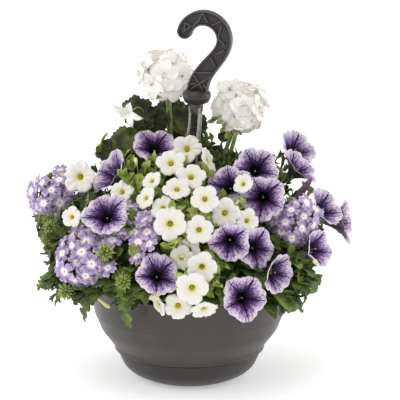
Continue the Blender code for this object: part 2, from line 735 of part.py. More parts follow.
def make_hook(group, finish):
    """The moulded hook: a thin web between raised edges with slanting ribs, on a turned collar."""
    outer, inner = hook_edges(0, HOOK_STATIONS)
    outer_in, inner_in = hook_edges(HOOK_RAIL, HOOK_STATIONS)
    outer_web, inner_web = hook_edges(HOOK_RAIL / 2, HOOK_STATIONS, 0.995)
    tip, tip_in, tip_web = (hook_tip(*pair) for pair in
                            ((outer, inner), (outer_in, inner_in), (outer_web, inner_web)))
    web = plate("hook", inner_web[::-1] + tip_web + outer_web, HOOK_WEB, group)
    rail = plate("rail", inner[::-1] + tip + outer + outer_in[::-1] + tip_in[::-1] + inner_in,
                 HOOK_DEPTH, group)
    pieces = [rail]
    for i in range(0, HOOK_STATIONS - 3, 2):
        near, far = (outer_in, inner_in) if i % 4 else (inner_in, outer_in)
        start, end = near[i], far[i + 2]
        along = (end - start).normalized()
        side = Vector((-along.y, along.x)) * RIB_HALF
        reach = along * HOOK_RAIL / 2
        outline = [start - reach - side, end + reach - side, end + reach + side, start - reach + side]
        pieces.append(plate(f"rib_{i}", outline, RIB_DEPTH, group))
    hook = fuse(web, pieces, "EXACT")
    stand = Matrix.Translation((HANGER_LEAN, 0, 0)) @ Matrix.Rotation(HOOK_TURN, 4, "Z")
    hook.data.transform(stand @ Matrix.Rotation(math.radians(90), 4, "X"))
    collar_profile = (
        (0.0, COLLAR_TOP), (0.0171, COLLAR_TOP), (COLLAR_RADIUS, COLLAR_TOP - 0.0045),
        (COLLAR_RADIUS, COLLAR_TOP - 0.0125), (0.0155, COLLAR_TOP - 0.0170), (0.0142, COLLAR_BOTTOM),
        (0.0, COLLAR_BOTTOM),
    )
    collar = turned("collar", collar_profile, group)
    collar.modifiers["Turn"].steps = COLLAR_STEPS
    collar.modifiers["Turn"].render_steps = COLLAR_STEPS
    collar.location.x = HANGER_LEAN
    fuse(hook, [collar], "EXACT")
    cutters = []
    for azimuth in WIRE_AZIMUTHS:
        mouth = around(azimuth, WIRE_SPREAD, COLLAR_BOTTOM) + Vector((HANGER_LEAN, 0, 0))
        cutters.append(drill(mouth, WIRE_RADIUS + 0.0005, 2 * (BORE_TOP - COLLAR_BOTTOM)))
    return finished(fuse(hook, cutters, "EXACT", "DIFFERENCE"), finish)


def wire_route(azimuth):
    """A wire: straight out of the collar, flaring to its hole in the rim, with a foot under it."""
    upper, lower = FLARE_TOP, POT_HEIGHT + 0.006
    points = []
    for height in (BORE_TOP - 0.0005, COLLAR_BOTTOM - 0.004):
        points.append(around(azimuth, WIRE_SPREAD, height) + Vector((HANGER_LEAN, 0, 0)))
    for i in range(1, 10):
        share = i / 9
        height = upper + (lower - upper) * share
        radius = WIRE_SPREAD + (WIRE_HOLE_RADIUS - WIRE_SPREAD) * share ** 2.3
        lean = HANGER_LEAN * (1 - share) ** 3
        points.append(around(azimuth, radius, height) + Vector((lean, 0, 0)))
    foot = POT_HEIGHT - RIM_THICKNESS - WIRE_RADIUS - 0.0004
    points.append(around(azimuth, WIRE_HOLE_RADIUS, foot + 0.001))
    points.append(around(azimuth + 0.5, WIRE_HOLE_RADIUS + 0.0002, foot))
    points.append(around(azimuth + 3.5, WIRE_HOLE_RADIUS + 0.0004, foot))
    return points


# The planting

def crown_foot(name):
    """Where a plant's crown stands on the compost."""
    first, last = PLANTS[name][1:3]
    return around((first + last) / 2, CROWN_REACH, SOIL_TOP - CROWN_DEPTH)


def sunk(point, name):
    """A point of a heart's skin, moved in towards the middle of that heart, for a root."""
    first, last = PLANTS[name][1:3]
    core = around((first + last) / 2, CROWN_REACH, HEART_CORE_HEIGHT)
    return point + (core - point).normalized() * ROOT_SINK


def make_heart(name, group):
    """A plant's leafy heart: its share of the mound, cut off where its neighbours and wires are."""
    first, last, first_wire, last_wire = PLANTS[name][1:]
    skin = bmesh.new()
    rows = []
    for level, (across, deep, height) in enumerate(HEART_LEVELS):
        row = []
        for i in range(HEART_STEPS):
            angle = 2 * math.pi * i / HEART_STEPS
            relief = HEART_RELIEF * (-1) ** (i + level) if level > 1 else 0
            row.append(skin.verts.new(((across + relief) * math.sin(angle),
                                       -(deep + relief) * math.cos(angle), height)))
        rows.append(row)
    top = skin.verts.new((0, 0, HEART_TOP))
    for level, (low, high) in enumerate(zip(rows, rows[1:])):
        for i in range(HEART_STEPS):
            j = (i + 1) % HEART_STEPS
            if (i + level) % 2:
                skin.faces.new((low[i], low[j], high[i]))
                skin.faces.new((low[j], high[j], high[i]))
            else:
                skin.faces.new((low[i], low[j], high[j]))
                skin.faces.new((low[i], high[j], high[i]))
    for i in range(HEART_STEPS):
        skin.faces.new((rows[-1][i], rows[-1][(i + 1) % HEART_STEPS], top))
    skin.faces.new(rows[0])
    bmesh.ops.recalc_face_normals(skin, faces=skin.faces)
    for azimuth, wire, way in ((first, first_wire, 1), (last, last_wire, -1)):
        outward = around(azimuth - 90 * way, 1, 0)
        room = WIRE_RADIUS + 0.0015 if wire else GAP
        bmesh.ops.bisect_plane(skin, geom=skin.verts[:] + skin.edges[:] + skin.faces[:], dist=0.000001,
                               plane_co=outward * -room, plane_no=outward, clear_outer=True)
        loose = [edge for edge in skin.edges if edge.is_boundary]
        bmesh.ops.holes_fill(skin, edges=loose)
    bmesh.ops.recalc_face_normals(skin, faces=skin.faces)
    mesh = bpy.data.meshes.new(name)
    skin.to_mesh(mesh)
    skin.free()
    return add_object(name, mesh, group)


def bend(root, seat, direction, reach, bow):
    """A stem from its root to the back of a flower, arriving along the flower's own line."""
    run = (seat - root).length
    lead = seat - direction * min(reach, run * 0.4)
    middle = (root + lead) / 2 + bow
    return [root, middle, lead, seat]


def clear(tree, taken, hearts, plant=None, may_touch_own=False):
    """Whether a tree crosses no heart but its own plant's, nor anything else that is in place."""
    if any(tree.overlap(heart) for name, heart in hearts.items() if name != plant):
        return False
    return not any(tree.overlap(other) for owner, other in taken if not (may_touch_own and owner == plant))


def nudges(line):
    """Small moves for a flower: first along the sight line, which leaves the picture unchanged."""
    side = line.cross(Vector((0, 0, 1))).normalized()
    rise = side.cross(line)
    for aside, lift in NUDGE_ASIDE:
        for step in NUDGE_STEPS:
            yield line * step + side * aside + rise * lift


def place_clear(make, line, taken, hearts, finish):
    """Makes a flower where it crosses nothing, moved a little if need be, and returns the move."""
    for move in nudges(line):
        thing = make(move)
        tree = tree_of(thing)
        if clear(tree, taken, hearts):
            finished(thing, finish)
            taken.append((None, tree))
            return move
        bpy.data.objects.remove(thing)
    raise RuntimeError("a flower finds no clear place")


def petunia_bloom(name, throat, direction, diameter, group):
    """A petunia bloom and the seat behind it."""
    rings = trumpet(diameter / 2, diameter * PETUNIA_DEPTH, diameter * 0.10, 0.0021, PETUNIA_NOTCH)
    return placed_loft(name, rings, pose(throat, direction), group)


def spray(name, blooms, fork, back, move, group):
    """Calibrachoa blooms whose tubes run down to one fork with a short stub behind it."""
    pieces = []
    fork, back = fork + move, back + move
    for i, (throat, direction, diameter) in enumerate(blooms):
        throat = throat + move
        depth = diameter * TRUMPET_DEPTH
        rings = small_trumpet(diameter / 2, depth, diameter * 0.10, CALIBRACHOA_NOTCH)
        pieces.append(placed_loft(f"{name}_bloom_{i}", rings, pose(throat, direction), group))
        foot = throat - direction * depth * 0.75
        pieces.append(tube(f"{name}_stem_{i}", [foot, (fork + back) / 2], 0.0011, group, 0))
    joint = tube(name, [fork, back], 0.0019, group, 0)
    return fuse(joint, pieces)


def bloom_list():
    """Every petunia bloom: name, throat, direction, diameter, plant and sight line."""
    for name, (u, v, lift, turn, tilt, diameter, plant) in PETUNIAS.items():
        line = sight_line((u, v))[1]
        yield name, on_canopy((u, v), lift), facing(turn, tilt), diameter, plant, line
    for name, (azimuth, height, turn, tilt, diameter, plant) in BACK_PETUNIAS.items():
        throat = on_back(azimuth, height)
        yield name, throat, facing(turn, tilt), diameter, plant, -facing(azimuth, 0)


def head_list():
    """Every verbena head: name, middle, direction, radius, florets, plant and sight line."""
    for name, (u, v, lift, turn, tilt, radius, count, plant) in VERBENAS.items():
        line = sight_line((u, v))[1]
        yield name, on_canopy((u, v), lift - 0.12), facing(turn, tilt), radius, count, plant, line
    for name, (azimuth, height, turn, tilt, radius, count, plant) in BACK_VERBENAS.items():
        middle = on_back(azimuth, height) - facing(turn, 0) * HEAD_INSET
        yield name, middle, facing(turn, tilt), radius, count, plant, -facing(azimuth, 0)


def spray_list():
    """Every calibrachoa spray: name, its blooms, its plant and sight line."""
    for name, blooms in SPRAYS.items():
        line = sight_line(blooms[0][:2])[1]
        plant = SPRAY_PLANTS.get(name, "calibrachoa_plant_front")
        yield name, [(on_canopy((u, v), lift), facing(turn, tilt), size)
                     for u, v, lift, turn, tilt, size in blooms], plant, line
    for name, blooms in BACK_SPRAYS.items():
        line = -facing(blooms[0][0], 0)
        yield name, [(on_back(azimuth, height), facing(turn, tilt), size)
                     for azimuth, height, turn, tilt, size in blooms], SPRAY_PLANTS[name], line


def paint():
    """The materials, by name."""
    return {
        "pot": material("moulded_grey_plastic", (84, 79, 76), 0.55),
        "hook": material("hook_grey_plastic", (76, 72, 70), 0.5),
        "compost": material("compost", (58, 44, 34), 0.95),
        "wire": material("galvanised_wire", (150, 146, 142), 0.4, 0.9),
        "petunia_bloom": material("petunia_petal", (150, 125, 165), 0.6),
        "calibrachoa_bloom": material("calibrachoa_petal", (235, 230, 225), 0.6),
        "verbena_head": material("verbena_petal", (173, 150, 183), 0.6),
        "geranium_head": material("geranium_petal", (236, 232, 228), 0.6),
        "verbena": material("verbena_leaf", (74, 84, 46), 0.6),
        "petunia": material("petunia_leaf", (64, 76, 42), 0.6),
        "calibrachoa": material("calibrachoa_leaf", (98, 116, 56), 0.6),
        "geranium": material("geranium_leaf", (50, 58, 36), 0.6),
    }


def grow_leaf(plant, tips, make, taken, hearts, pieces, may_touch_own):
    """Adds the first of a leaf's tries that is clear of its neighbours, and says if one was."""
    for tip in tips:
        blade = make(tip)
        tree = tree_of(blade)
        if clear(tree, taken, hearts, plant, may_touch_own):
            pieces[plant].append(blade)
            taken.append((plant, tree))
            return True
        bpy.data.objects.remove(blade)
    return False


def large_leaves(hearts, taken, pieces, group):
    """The leaves that the outline of the planting shows, each on its plant's heart."""
    for i, (plant, foot, tip_pixel, foot_lift, reach, width, arch, kind) in enumerate(LARGE_LEAVES):
        tip = at_depth(tip_pixel, reach) if kind == "round" else on_canopy(tip_pixel, reach)
        near = hearts[plant].find_nearest(on_canopy(foot, foot_lift) + Vector((0, 0, FOOT_RISE)))[0]
        root = sunk(near, plant)
        turn = LARGE_LEAF_TURNS[i % len(LARGE_LEAF_TURNS)]
        name = f"{plant}_large_{i}"
        tips = [root + (tip - root) * shrink + Vector(aside)
                for shrink in LEAF_SHRINKS for aside in LEAF_ASIDES]
        if not grow_leaf(plant, tips, lambda end: leaf(name, root, end, width, kind, arch, turn, group),
                         taken, hearts, pieces, True):
            print("no room for", name)


def make_flowers(hearts, taken, group, paints):
    """Every bloom, head and spray; returns the seat behind each, its direction, plant and stem radius."""
    seats = []
    for name, (u, v, depth, turn, tilt, radius, count) in GERANIUMS.items():
        middle = at_depth((u, v), depth)
        direction = facing(turn, tilt)
        move = place_clear(
            lambda move: flower_head(name, "geranium", middle + move, direction, radius, count, group),
            sight_line((u, v))[1], taken, hearts, paints["geranium_head"])
        seat = middle + move - direction * radius * HEAD_STALK
        seats.append((name, seat, direction, "geranium_plant", GERANIUM_STEM))
    for name, throat, direction, diameter, plant, line in bloom_list():
        move = place_clear(lambda move: petunia_bloom(name, throat + move, direction, diameter, group),
                           line, taken, hearts, paints["petunia_bloom"])
        seat = throat + move - direction * diameter * PETUNIA_DEPTH
        seats.append((name, seat, direction, plant, FLOWER_STEM))
    for name, middle, direction, radius, count, plant, line in head_list():
        move = place_clear(
            lambda move: flower_head(name, "verbena", middle + move, direction, radius, count, group),
            line, taken, hearts, paints["verbena_head"])
        seat = middle + move - direction * radius * HEAD_STALK
        seats.append((name, seat, direction, plant, FLOWER_STEM))
    for name, blooms, plant, line in spray_list():
        feet = [throat - direction * size * TRUMPET_DEPTH for throat, direction, size in blooms]
        fork = sum(feet, Vector()) / len(feet)
        inward = (CANOPY_MIDDLE - fork).normalized()
        fork = fork + inward * 0.008
        back = fork + inward * 0.006
        move = place_clear(lambda move: spray(name, blooms, fork, back, move, group),
                           line, taken, hearts, paints["calibrachoa_bloom"])
        seats.append((name, back + move, -inward, plant, SPRAY_STEM))
    return seats


def clear_stem(name, home, end, direction, thickness, hearts, taken, group):
    """The first stem from a plant to a flower that is clear of its neighbours, or None."""
    ways = itertools.product((False, True), STEM_LEADS, STEM_DROPS, STEM_BOWS)
    for may_touch_own, reach, drop, bow in ways:
        root = sunk(hearts[home].find_nearest(end - direction * drop)[0], home)
        stem = tube(name + "_stem", bend(root, end, direction, reach, Vector(bow)), thickness, group, 0)
        tree = tree_of(stem)
        if clear(tree, taken, hearts, home, may_touch_own):
            taken.append((home, tree))
            return stem
        bpy.data.objects.remove(stem)
    return None


def make_stems(hearts, seats, taken, pieces, group):
    """A stem to each flower, the shortest first, from its plant or else the nearest that can reach it."""
    shortest_first = sorted(seats, key=lambda row: hearts[row[3]].find_nearest(row[1])[3])
    for name, seat, direction, plant, thickness in shortest_first:
        end = seat - direction * GAP
        species = PLANTS[plant][0]
        order = sorted(PLANTS, key=lambda other: (other != plant, PLANTS[other][0] != species,
                                                  hearts[other].find_nearest(end)[3]))
        for home in order:
            stem = clear_stem(name, home, end, direction, thickness, hearts, taken, group)
            if stem:
                pieces[home].append(stem)
                break
        else:
            print("no clear stem for", name)


def add_leaves(name, hearts, taken, pieces, group):
    """Leaves by rule over a plant's heart, wherever one crosses nothing."""
    species, first, last = PLANTS[name][:3]
    share, length, width, kind = LEAF_RULES[species]
    for i in range(round(share * (last - first) / 10)):
        for attempt in range(LEAF_TRIES):
            draw = random.Random(f"{name} {i} {attempt}")
            azimuth = first + (last - first) * (LEAF_EDGE + (1 - 2 * LEAF_EDGE) * draw.random())
            height = LEAF_LOW + LEAF_BAND * draw.random()
            start = on_back(azimuth, height) * LEAF_START
            start.z = height
            root, normal = hearts[name].find_nearest(start)[:2]
            away = normal + Vector([draw.uniform(*spread) for spread in LEAF_SPREADS])
            tip = root + away.normalized() * length * draw.uniform(*LEAF_LENGTHS)
            breadth = width * draw.uniform(*LEAF_WIDTHS)
            foot = sunk(root, name)
            if not LEAF_SPAN[0] < tip.x < LEAF_SPAN[1]:
                continue
            if grow_leaf(name, [tip],
                         lambda end: leaf(name, foot, end, breadth, kind, RULE_SAG, azimuth, group),
                         taken, hearts, pieces, False):
                break


def main():
    """Builds the whole basket."""
    for thing in list(bpy.data.objects):
        bpy.data.objects.remove(thing)
    basket = bpy.data.collections.new("flowering_hanging_basket")
    cutters = bpy.data.collections.new("cutters")
    for group in (basket, cutters):
        bpy.context.scene.collection.children.link(group)
    paints = paint()

    made = [make_bowl(basket, paints["pot"]), make_saucer(basket, paints["pot"]),
            make_compost(basket, paints["compost"]), make_hook(basket, paints["hook"])]
    for i, azimuth in enumerate(WIRE_AZIMUTHS):
        wire = tube(f"wire_{i + 1}", wire_route(azimuth), WIRE_RADIUS, basket, 1)
        made.append(finished(wire, paints["wire"]))

    plants = {name: make_heart(name, basket) for name in PLANTS}
    hearts = {name: tree_of(plant) for name, plant in plants.items()}
    taken = [(None, tree_of(thing)) for thing in made]
    pieces = {name: [] for name in PLANTS}
    large_leaves(hearts, taken, pieces, basket)
    seats = make_flowers(hearts, taken, basket, paints)
    make_stems(hearts, seats, taken, pieces, basket)
    for name, plant in plants.items():
        foot = crown_foot(name)
        crown = tube(name + "_crown", [foot, foot + Vector((0, 0, CROWN_DEPTH + 0.006))],
                     CROWN_RADIUS, basket)
        add_leaves(name, hearts, taken, pieces, basket)
        fuse(plant, [crown] + pieces[name])
        finished(plant, paints[PLANTS[name][0]])
    bpy.data.collections.remove(cutters)


main()
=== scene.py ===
# %% [markdown]
# A flowering hanging basket
# This lesson dresses a finished construction model of a hanging basket: a plastic bowl with a clip-on
# saucer, three wires, a moulded hook and four kinds of flowering plant. The construction model knows
# where each bloom, stem and leaf is, but its petals are a few flat facets. Each cell below takes one
# kind of piece, looks its place up again with the rules that planted it, and puts a finely made piece
# there: ruffled petals with veins, toothed leaves, a softly grained pot.

# %% Load the frame
import itertools
from math import atan2, cos, degrees, pi, radians, sin, sqrt
from random import Random

import bmesh
import bpy
import numpy as np
from mathutils import Matrix, Vector
from mathutils.bvhtree import BVHTree
from mathutils.kdtree import KDTree


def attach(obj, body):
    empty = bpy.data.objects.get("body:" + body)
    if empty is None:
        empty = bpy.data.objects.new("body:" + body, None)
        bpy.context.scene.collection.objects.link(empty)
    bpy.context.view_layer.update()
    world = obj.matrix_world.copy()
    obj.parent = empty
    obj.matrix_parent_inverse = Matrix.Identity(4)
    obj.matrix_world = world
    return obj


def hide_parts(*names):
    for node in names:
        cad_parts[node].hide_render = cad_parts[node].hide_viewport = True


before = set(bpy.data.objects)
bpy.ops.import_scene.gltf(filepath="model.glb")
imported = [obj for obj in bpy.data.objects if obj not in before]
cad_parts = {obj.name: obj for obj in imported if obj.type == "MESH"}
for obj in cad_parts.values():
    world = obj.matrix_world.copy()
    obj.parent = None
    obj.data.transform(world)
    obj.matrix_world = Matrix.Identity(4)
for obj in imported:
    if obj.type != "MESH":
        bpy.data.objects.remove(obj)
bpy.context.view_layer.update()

# %% [markdown]
# The camera comes first, because the planting was laid out along its sight lines. A long lens from six
# metres keeps the pot's ellipses as flat as they are in the picture. One pixel of a 400 pixel picture
# is 1.35 mm at the pot's axis.

# %% Camera
PIXEL = 0.00135
PICTURE_MIDDLE = 200
BASE_PIXEL = (189.5, 373.1)
VIEW_ELEVATION = radians(15)
VIEW_DISTANCE = 6.0
SENSOR_MM = 36
view_up = Vector((0, sin(VIEW_ELEVATION), cos(VIEW_ELEVATION)))
view_forward = Vector((0, cos(VIEW_ELEVATION), -sin(VIEW_ELEVATION)))
view_right = Vector((1, 0, 0))
aim = (view_right * (PICTURE_MIDDLE - BASE_PIXEL[0]) * PIXEL
       + view_up * (BASE_PIXEL[1] - PICTURE_MIDDLE) * PIXEL)
eye = aim - view_forward * VIEW_DISTANCE


def show(name, data):
    """An object made of some data, put into the scene."""
    thing = bpy.data.objects.new(name, data)
    bpy.context.scene.collection.objects.link(thing)
    return thing


camera = show("camera", bpy.data.cameras.new("camera"))
camera.location = eye
camera.rotation_euler = view_forward.to_track_quat("-Z", "Y").to_euler()
camera.data.sensor_width = SENSOR_MM
camera.data.lens = SENSOR_MM * VIEW_DISTANCE / (2 * PICTURE_MIDDLE * PIXEL)
camera.data.clip_end = 30
bpy.context.scene.camera = camera
print("lens, mm:", round(camera.data.lens))

# %% [markdown]
# The planting plan repeats the one that the construction model was grown from. Each wedge of the pot
# holds one plant. Blooms that face the camera are placed by pixel and by how far they lift off a
# rounded canopy, and those behind by azimuth and height. Tables keep the plan apart from the work, so
# that one bloom can be moved without reading any code.

# %% Planting plan
GAP = 0.0003
WIRE_RADIUS = 0.0017
SOIL_TOP = 0.123
POT_HEIGHT = 0.135
CANOPY_MIDDLE = Vector((0, 0, 0.182))
CANOPY_REACH = Vector((0.212, 0.17, 0.12))
LEFT, FRONT_LEFT, FRONT_RIGHT, RIGHT = (
    "petunia_plant_" + side for side in ("left", "front_left", "front_right", "right"))
VERBENA_LEFT, VERBENA_RIGHT = "verbena_plant_left", "verbena_plant_right"
CALIBRACHOA_FRONT, CALIBRACHOA_BACK = "calibrachoa_plant_front", "calibrachoa_plant_back"
GERANIUM = "geranium_plant"
# Species, first and last azimuth of the plant's share of the pot, and whether a wire runs at each end
PLANTS = {
    VERBENA_LEFT: ("verbena", -100, -40, True, False),
    FRONT_LEFT: ("petunia", -40, -12, False, False),
    CALIBRACHOA_FRONT: ("calibrachoa", -12, 20, False, True),
    FRONT_RIGHT: ("petunia", 20, 48, True, False),
    VERBENA_RIGHT: ("verbena", 48, 70, False, False),
    RIGHT: ("petunia", 70, 105, False, False),
    CALIBRACHOA_BACK: ("calibrachoa", 105, 140, False, True),
    GERANIUM: ("geranium", 140, 215, True, False),
    LEFT: ("petunia", 215, 260, False, True),
}


def numbered(kind, rows):
    """A table whose rows are named by kind and number, from 1."""
    return {f"{kind}_{i}": row for i, row in enumerate(rows, 1)}


# Each bloom's place, turn, tilt and diameter; a place is a pixel and a lift, or behind an azimuth and height
PETUNIAS = numbered("petunia", (
    ((147, 147, 0.08), 10, 55, 0.057), ((109, 172, 0.02), -70, 35, 0.054), ((106, 215, 0.1), -15, 48, 0.059),
    ((158, 275, 0.05), 15, 35, 0.059), ((256, 168, 0.1), 10, 45, 0.06), ((229, 186, 0.0), -25, 45, 0.054),
    ((263, 198, 0.08), 0, 8, 0.06), ((230, 242, 0.07), 0, -8, 0.054), ((255, 248, 0.0), 30, 15, 0.055),
    ((244, 298, 0.07), 20, 15, 0.06), ((298, 147, 0.12), 50, 45, 0.05), ((301, 166, 0.04), 75, 45, 0.052),
    ((327, 207, 0.05), 60, 35, 0.05), ((346, 221, 0.02), 80, 8, 0.055), ((279, 274, 0.03), 50, -5, 0.05),
    ((319, 248, 0.0), 55, 20, 0.045), ((112, 0.205), 115, 20, 0.057), ((-118, 0.19), -120, 15, 0.057),
    ((-138, 0.225), -140, 35, 0.055), ((152, 0.175), 150, 10, 0.057),
))
SPRAYS = numbered("calibrachoa", (
    (((187, 149, 0.1), -10, 35, 0.04), ((171, 163, 0.12), -10, 45, 0.039)),
    (((208, 161, 0.06), 75, 25, 0.038), ((191, 177, 0.12), 0, 52, 0.04)),
    (((177, 189, 0.12), -5, 55, 0.037), ((152, 181, 0.1), -40, 40, 0.028)),
    (((205, 199, 0.12), 5, 30, 0.037), ((243, 184, 0.12), -30, 35, 0.028)),
    (((225, 213, 0.12), 15, 20, 0.04), ((247, 221, 0.06), 25, 20, 0.033)),
    (((170, 224, 0.12), -5, 8, 0.044), ((163, 208, 0.05), -20, 40, 0.034)),
    (((199, 230, 0.11), 0, 10, 0.038), ((202, 267, 0.1), 5, 5, 0.04)),
    (((182, 258, 0.04), -10, 5, 0.034), ((189, 250, 0.05), -10, 10, 0.032)),
    (((192, 288, 0.12), 0, 0, 0.043), ((204, 309, 0.06), 12, -40, 0.036)),
    (((178, 306, 0.1), -5, -15, 0.039), ((158, 303, 0.06), -60, -20, 0.034)),
    (((80, 177, 0.08), -20, 15, 0.044), ((72, 217, 0.08), -25, 20, 0.028)),
    (((146, 198, 0.09), -50, 30, 0.032), ((122, 192, 0.0), -30, 35, 0.034)),
    (((128, 0.2), 125, 25, 0.04), ((120, 0.235), 120, 45, 0.038), ((136, 0.165), 135, 5, 0.04)),
    (((180, 0.15), 180, 5, 0.04), ((193, 0.172), 190, 15, 0.04), ((168, 0.18), 165, 20, 0.038)),
))
# Heads have a radius in place of the diameter, and a number of florets
VERBENAS = numbered("verbena", (
    ((55, 196, 0.02), -28, 32, 0.037, 12), ((83, 254, 0.06), -20, 22, 0.039, 12),
    ((143, 226, 0.06), -20, 40, 0.021, 6), ((294, 221, 0.05), 22, 30, 0.032, 11),
    ((168, 0.232), 165, 50, 0.031, 9),
))
# Geranium heads have a pixel and a depth behind the pot's axis
GERANIUMS = numbered("geranium", (
    ((166, 76), 0.045, -8, 60, 0.033, 10), ((238, 108), 0.05, 15, 55, 0.033, 10),
    ((240, 112), 0.135, 160, 55, 0.028, 7),
))
print(len(PLANTS), "plants,", len(PETUNIAS), "petunias,", sum(map(len, SPRAYS.values())), "calibrachoas")

# %% [markdown]
# The large leaves that shape the planting are placed one by one as well, and the others by rule, as no
# one would miss a single one of them. The foliage keeps inside the outline that the planting has from
# the front, because that is what the eye meets first. It is the last table.

# %% Leaves and outline of the plan
# Large leaves: plant, pixels of the foot and tip, lifts of the two, width, arch and kind; a round leaf
# has the depth of its tip behind the pot's axis in place of the tip's lift
LARGE_LEAVES = (
    (VERBENA_LEFT, (88, 280), (38, 289), 0.0, 0.06, 0.03, 0.2, "frond"),
    (VERBENA_LEFT, (92, 280), (85, 322), 0.0, 0.1, 0.034, 0.3, "frond"),
    (VERBENA_LEFT, (84, 276), (55, 307), 0.0, 0.1, 0.03, 0.25, "frond"),
    (VERBENA_LEFT, (66, 228), (46, 278), 0.0, 0.04, 0.026, 0.12, "frond"),
    (VERBENA_LEFT, (66, 222), (32, 216), 0.02, 0.02, 0.028, 0.06, "frond"),
    (FRONT_LEFT, (122, 278), (130, 328), 0.0, 0.08, 0.034, 0.32, "frond"),
    (FRONT_LEFT, (140, 280), (146, 306), 0.0, 0.1, 0.026, 0.15, "oval"),
    (FRONT_RIGHT, (222, 276), (216, 309), 0.02, 0.12, 0.032, 0.15, "oval"),
    (FRONT_RIGHT, (268, 255), (263, 290), 0.0, 0.08, 0.034, 0.15, "oval"),
    (FRONT_RIGHT, (280, 276), (291, 312), 0.0, 0.1, 0.028, 0.15, "oval"),
    (VERBENA_RIGHT, (293, 262), (318, 279), 0.0, 0.05, 0.03, 0.1, "oval"),
    (VERBENA_RIGHT, (299, 245), (308, 262), 0.0, 0.05, 0.03, 0.1, "oval"),
    (RIGHT, (290, 192), (312, 178), 0.04, 0.1, 0.01, 0.06, "oval"),
    (GERANIUM, (160, 150), (133, 97), 0.0, 0.05, 0.05, 0.0, "round"),
    (GERANIUM, (150, 160), (118, 129), 0.0, 0.03, 0.046, 0.0, "round"),
    (GERANIUM, (172, 160), (151, 106), 0.0, 0.075, 0.044, 0.0, "round"),
    (GERANIUM, (186, 160), (184, 105), 0.0, 0.095, 0.05, 0.0, "round"),
    (GERANIUM, (215, 160), (226, 132), 0.0, 0.11, 0.046, 0.0, "round"),
    (GERANIUM, (110, 160), (88, 146), 0.0, 0.06, 0.04, 0.0, "round"),
)
# Leaves by rule: how many to each ten degrees of the pot, length, width and kind
LEAF_RULES = {
    "verbena": (1.6, 0.056, 0.032, "frond"), "petunia": (2.6, 0.056, 0.03, "small"),
    "calibrachoa": (2.7, 0.046, 0.016, "small"), "geranium": (1.0, 0.062, 0.05, "round"),
}
# Where the foliage ends, seen from the camera, by pixel, clockwise from the top left
SILHOUETTE = (
    (114, 100), (130, 96), (150, 104), (184, 100), (199, 106), (204, 131), (214, 132), (224, 144), (238, 148),
    (262, 142), (284, 150), (292, 142), (312, 172), (304, 188), (300, 196), (318, 205), (328, 220), (326, 236),
    (318, 246), (318, 262), (310, 270), (324, 280), (322, 288), (310, 290), (306, 300), (298, 316), (284, 318),
    (262, 312), (224, 310), (206, 320), (168, 314), (150, 300), (134, 302), (131, 327), (118, 322), (112, 300),
    (96, 298), (89, 322), (78, 318), (70, 302), (57, 308), (38, 291), (46, 276), (45, 255), (36, 222), (28, 200),
    (32, 182), (60, 172), (84, 160), (100, 140), (108, 128), (118, 122),
)
print("large leaves:", len(LARGE_LEAVES), "points of the outline:", len(SILHOUETTE))

# %% [markdown]
# Places are worked out as they were in the construction model: round the pot's axis, on the sight line
# of a pixel at some depth, or where a sight line meets the canopy.

# %% Places
def around(azimuth, radius, height):
    """A point round the pot's axis; azimuth 0 is the front and 90 is the right."""
    angle = radians(azimuth)
    return Vector((radius * sin(angle), -radius * cos(angle), height))


def sight_line(pixel):
    """The direction in which the camera sees a pixel."""
    across = (pixel[0] - PICTURE_MIDDLE) * PIXEL
    down = (pixel[1] - PICTURE_MIDDLE) * PIXEL
    return (view_forward * VIEW_DISTANCE + view_right * across - view_up * down).normalized()


def at_depth(pixel, depth):
    """The point of a sight line at a given distance behind the pot's axis."""
    line = sight_line(pixel)
    return eye + line * ((depth - eye.y) / line.y)


def on_canopy(pixel, lift):
    """Where a sight line meets the canopy, or passes nearest to it."""
    line = sight_line(pixel)
    reach = CANOPY_REACH * (1 + lift)
    near = Vector([(eye[i] - CANOPY_MIDDLE[i]) / reach[i] for i in range(3)])
    step = Vector([line[i] / reach[i] for i in range(3)])
    middle = -near.dot(step) / step.dot(step)
    spare = middle ** 2 - (near.dot(near) - 1) / step.dot(step)
    return eye + line * (middle - sqrt(max(spare, 0)))


def on_back(azimuth, height):
    """A point of the canopy by azimuth and height."""
    level = max(-1, min(1, (height - CANOPY_MIDDLE.z) / CANOPY_REACH.z))
    spread = sqrt(1 - level ** 2)
    angle = radians(azimuth)
    return Vector((CANOPY_REACH.x * spread * sin(angle),
                   -CANOPY_REACH.y * spread * cos(angle), height))


def facing(turn, tilt):
    """The way a bloom looks: turn to the right of the front, tilt above level."""
    turn, tilt = radians(turn), radians(tilt)
    return Vector((sin(turn) * cos(tilt), -cos(turn) * cos(tilt), sin(tilt)))


def pose(point, direction, spin=0.0):
    """The matrix that takes a bloom modelled along +Z to its place."""
    turn = direction.to_track_quat("Z", "Y").to_matrix().to_4x4()
    return Matrix.Translation(point) @ turn @ Matrix.Rotation(spin, 4, "Z")


def place_of(where, lift=0.0):
    """A flower's first place, and the line along which it may have moved."""
    if len(where) == 3:
        return on_canopy(where[:2], where[2] + lift), sight_line(where[:2])
    return on_back(*where), -facing(where[0], 0)


print("canopy front, metres:", round(on_canopy((200, 250), 0).y, 3))

# %% [markdown]
# In the construction model a flower could step aside by one of a short list of moves when its first
# place was taken. Each piece below tries the same moves and keeps the one that meets the corners of its
# own node, so that no flower has to be measured. A point is inside the outline if a level line from it
# crosses the outline an odd number of times.

# %% Outline and moves
NUDGE_STEPS = (0, -0.005, 0.005, -0.01, 0.01, -0.015, -0.02, 0.015, -0.026, -0.032)
NUDGE_ASIDE = ((0, 0), (0.003, 0), (-0.003, 0), (0, 0.003), (0, -0.003), (0.006, 0), (-0.006, 0),
               (0, 0.006), (0, -0.006), (0.01, 0), (-0.01, 0), (0, 0.01), (0, -0.01))
MATCH = 0.0002


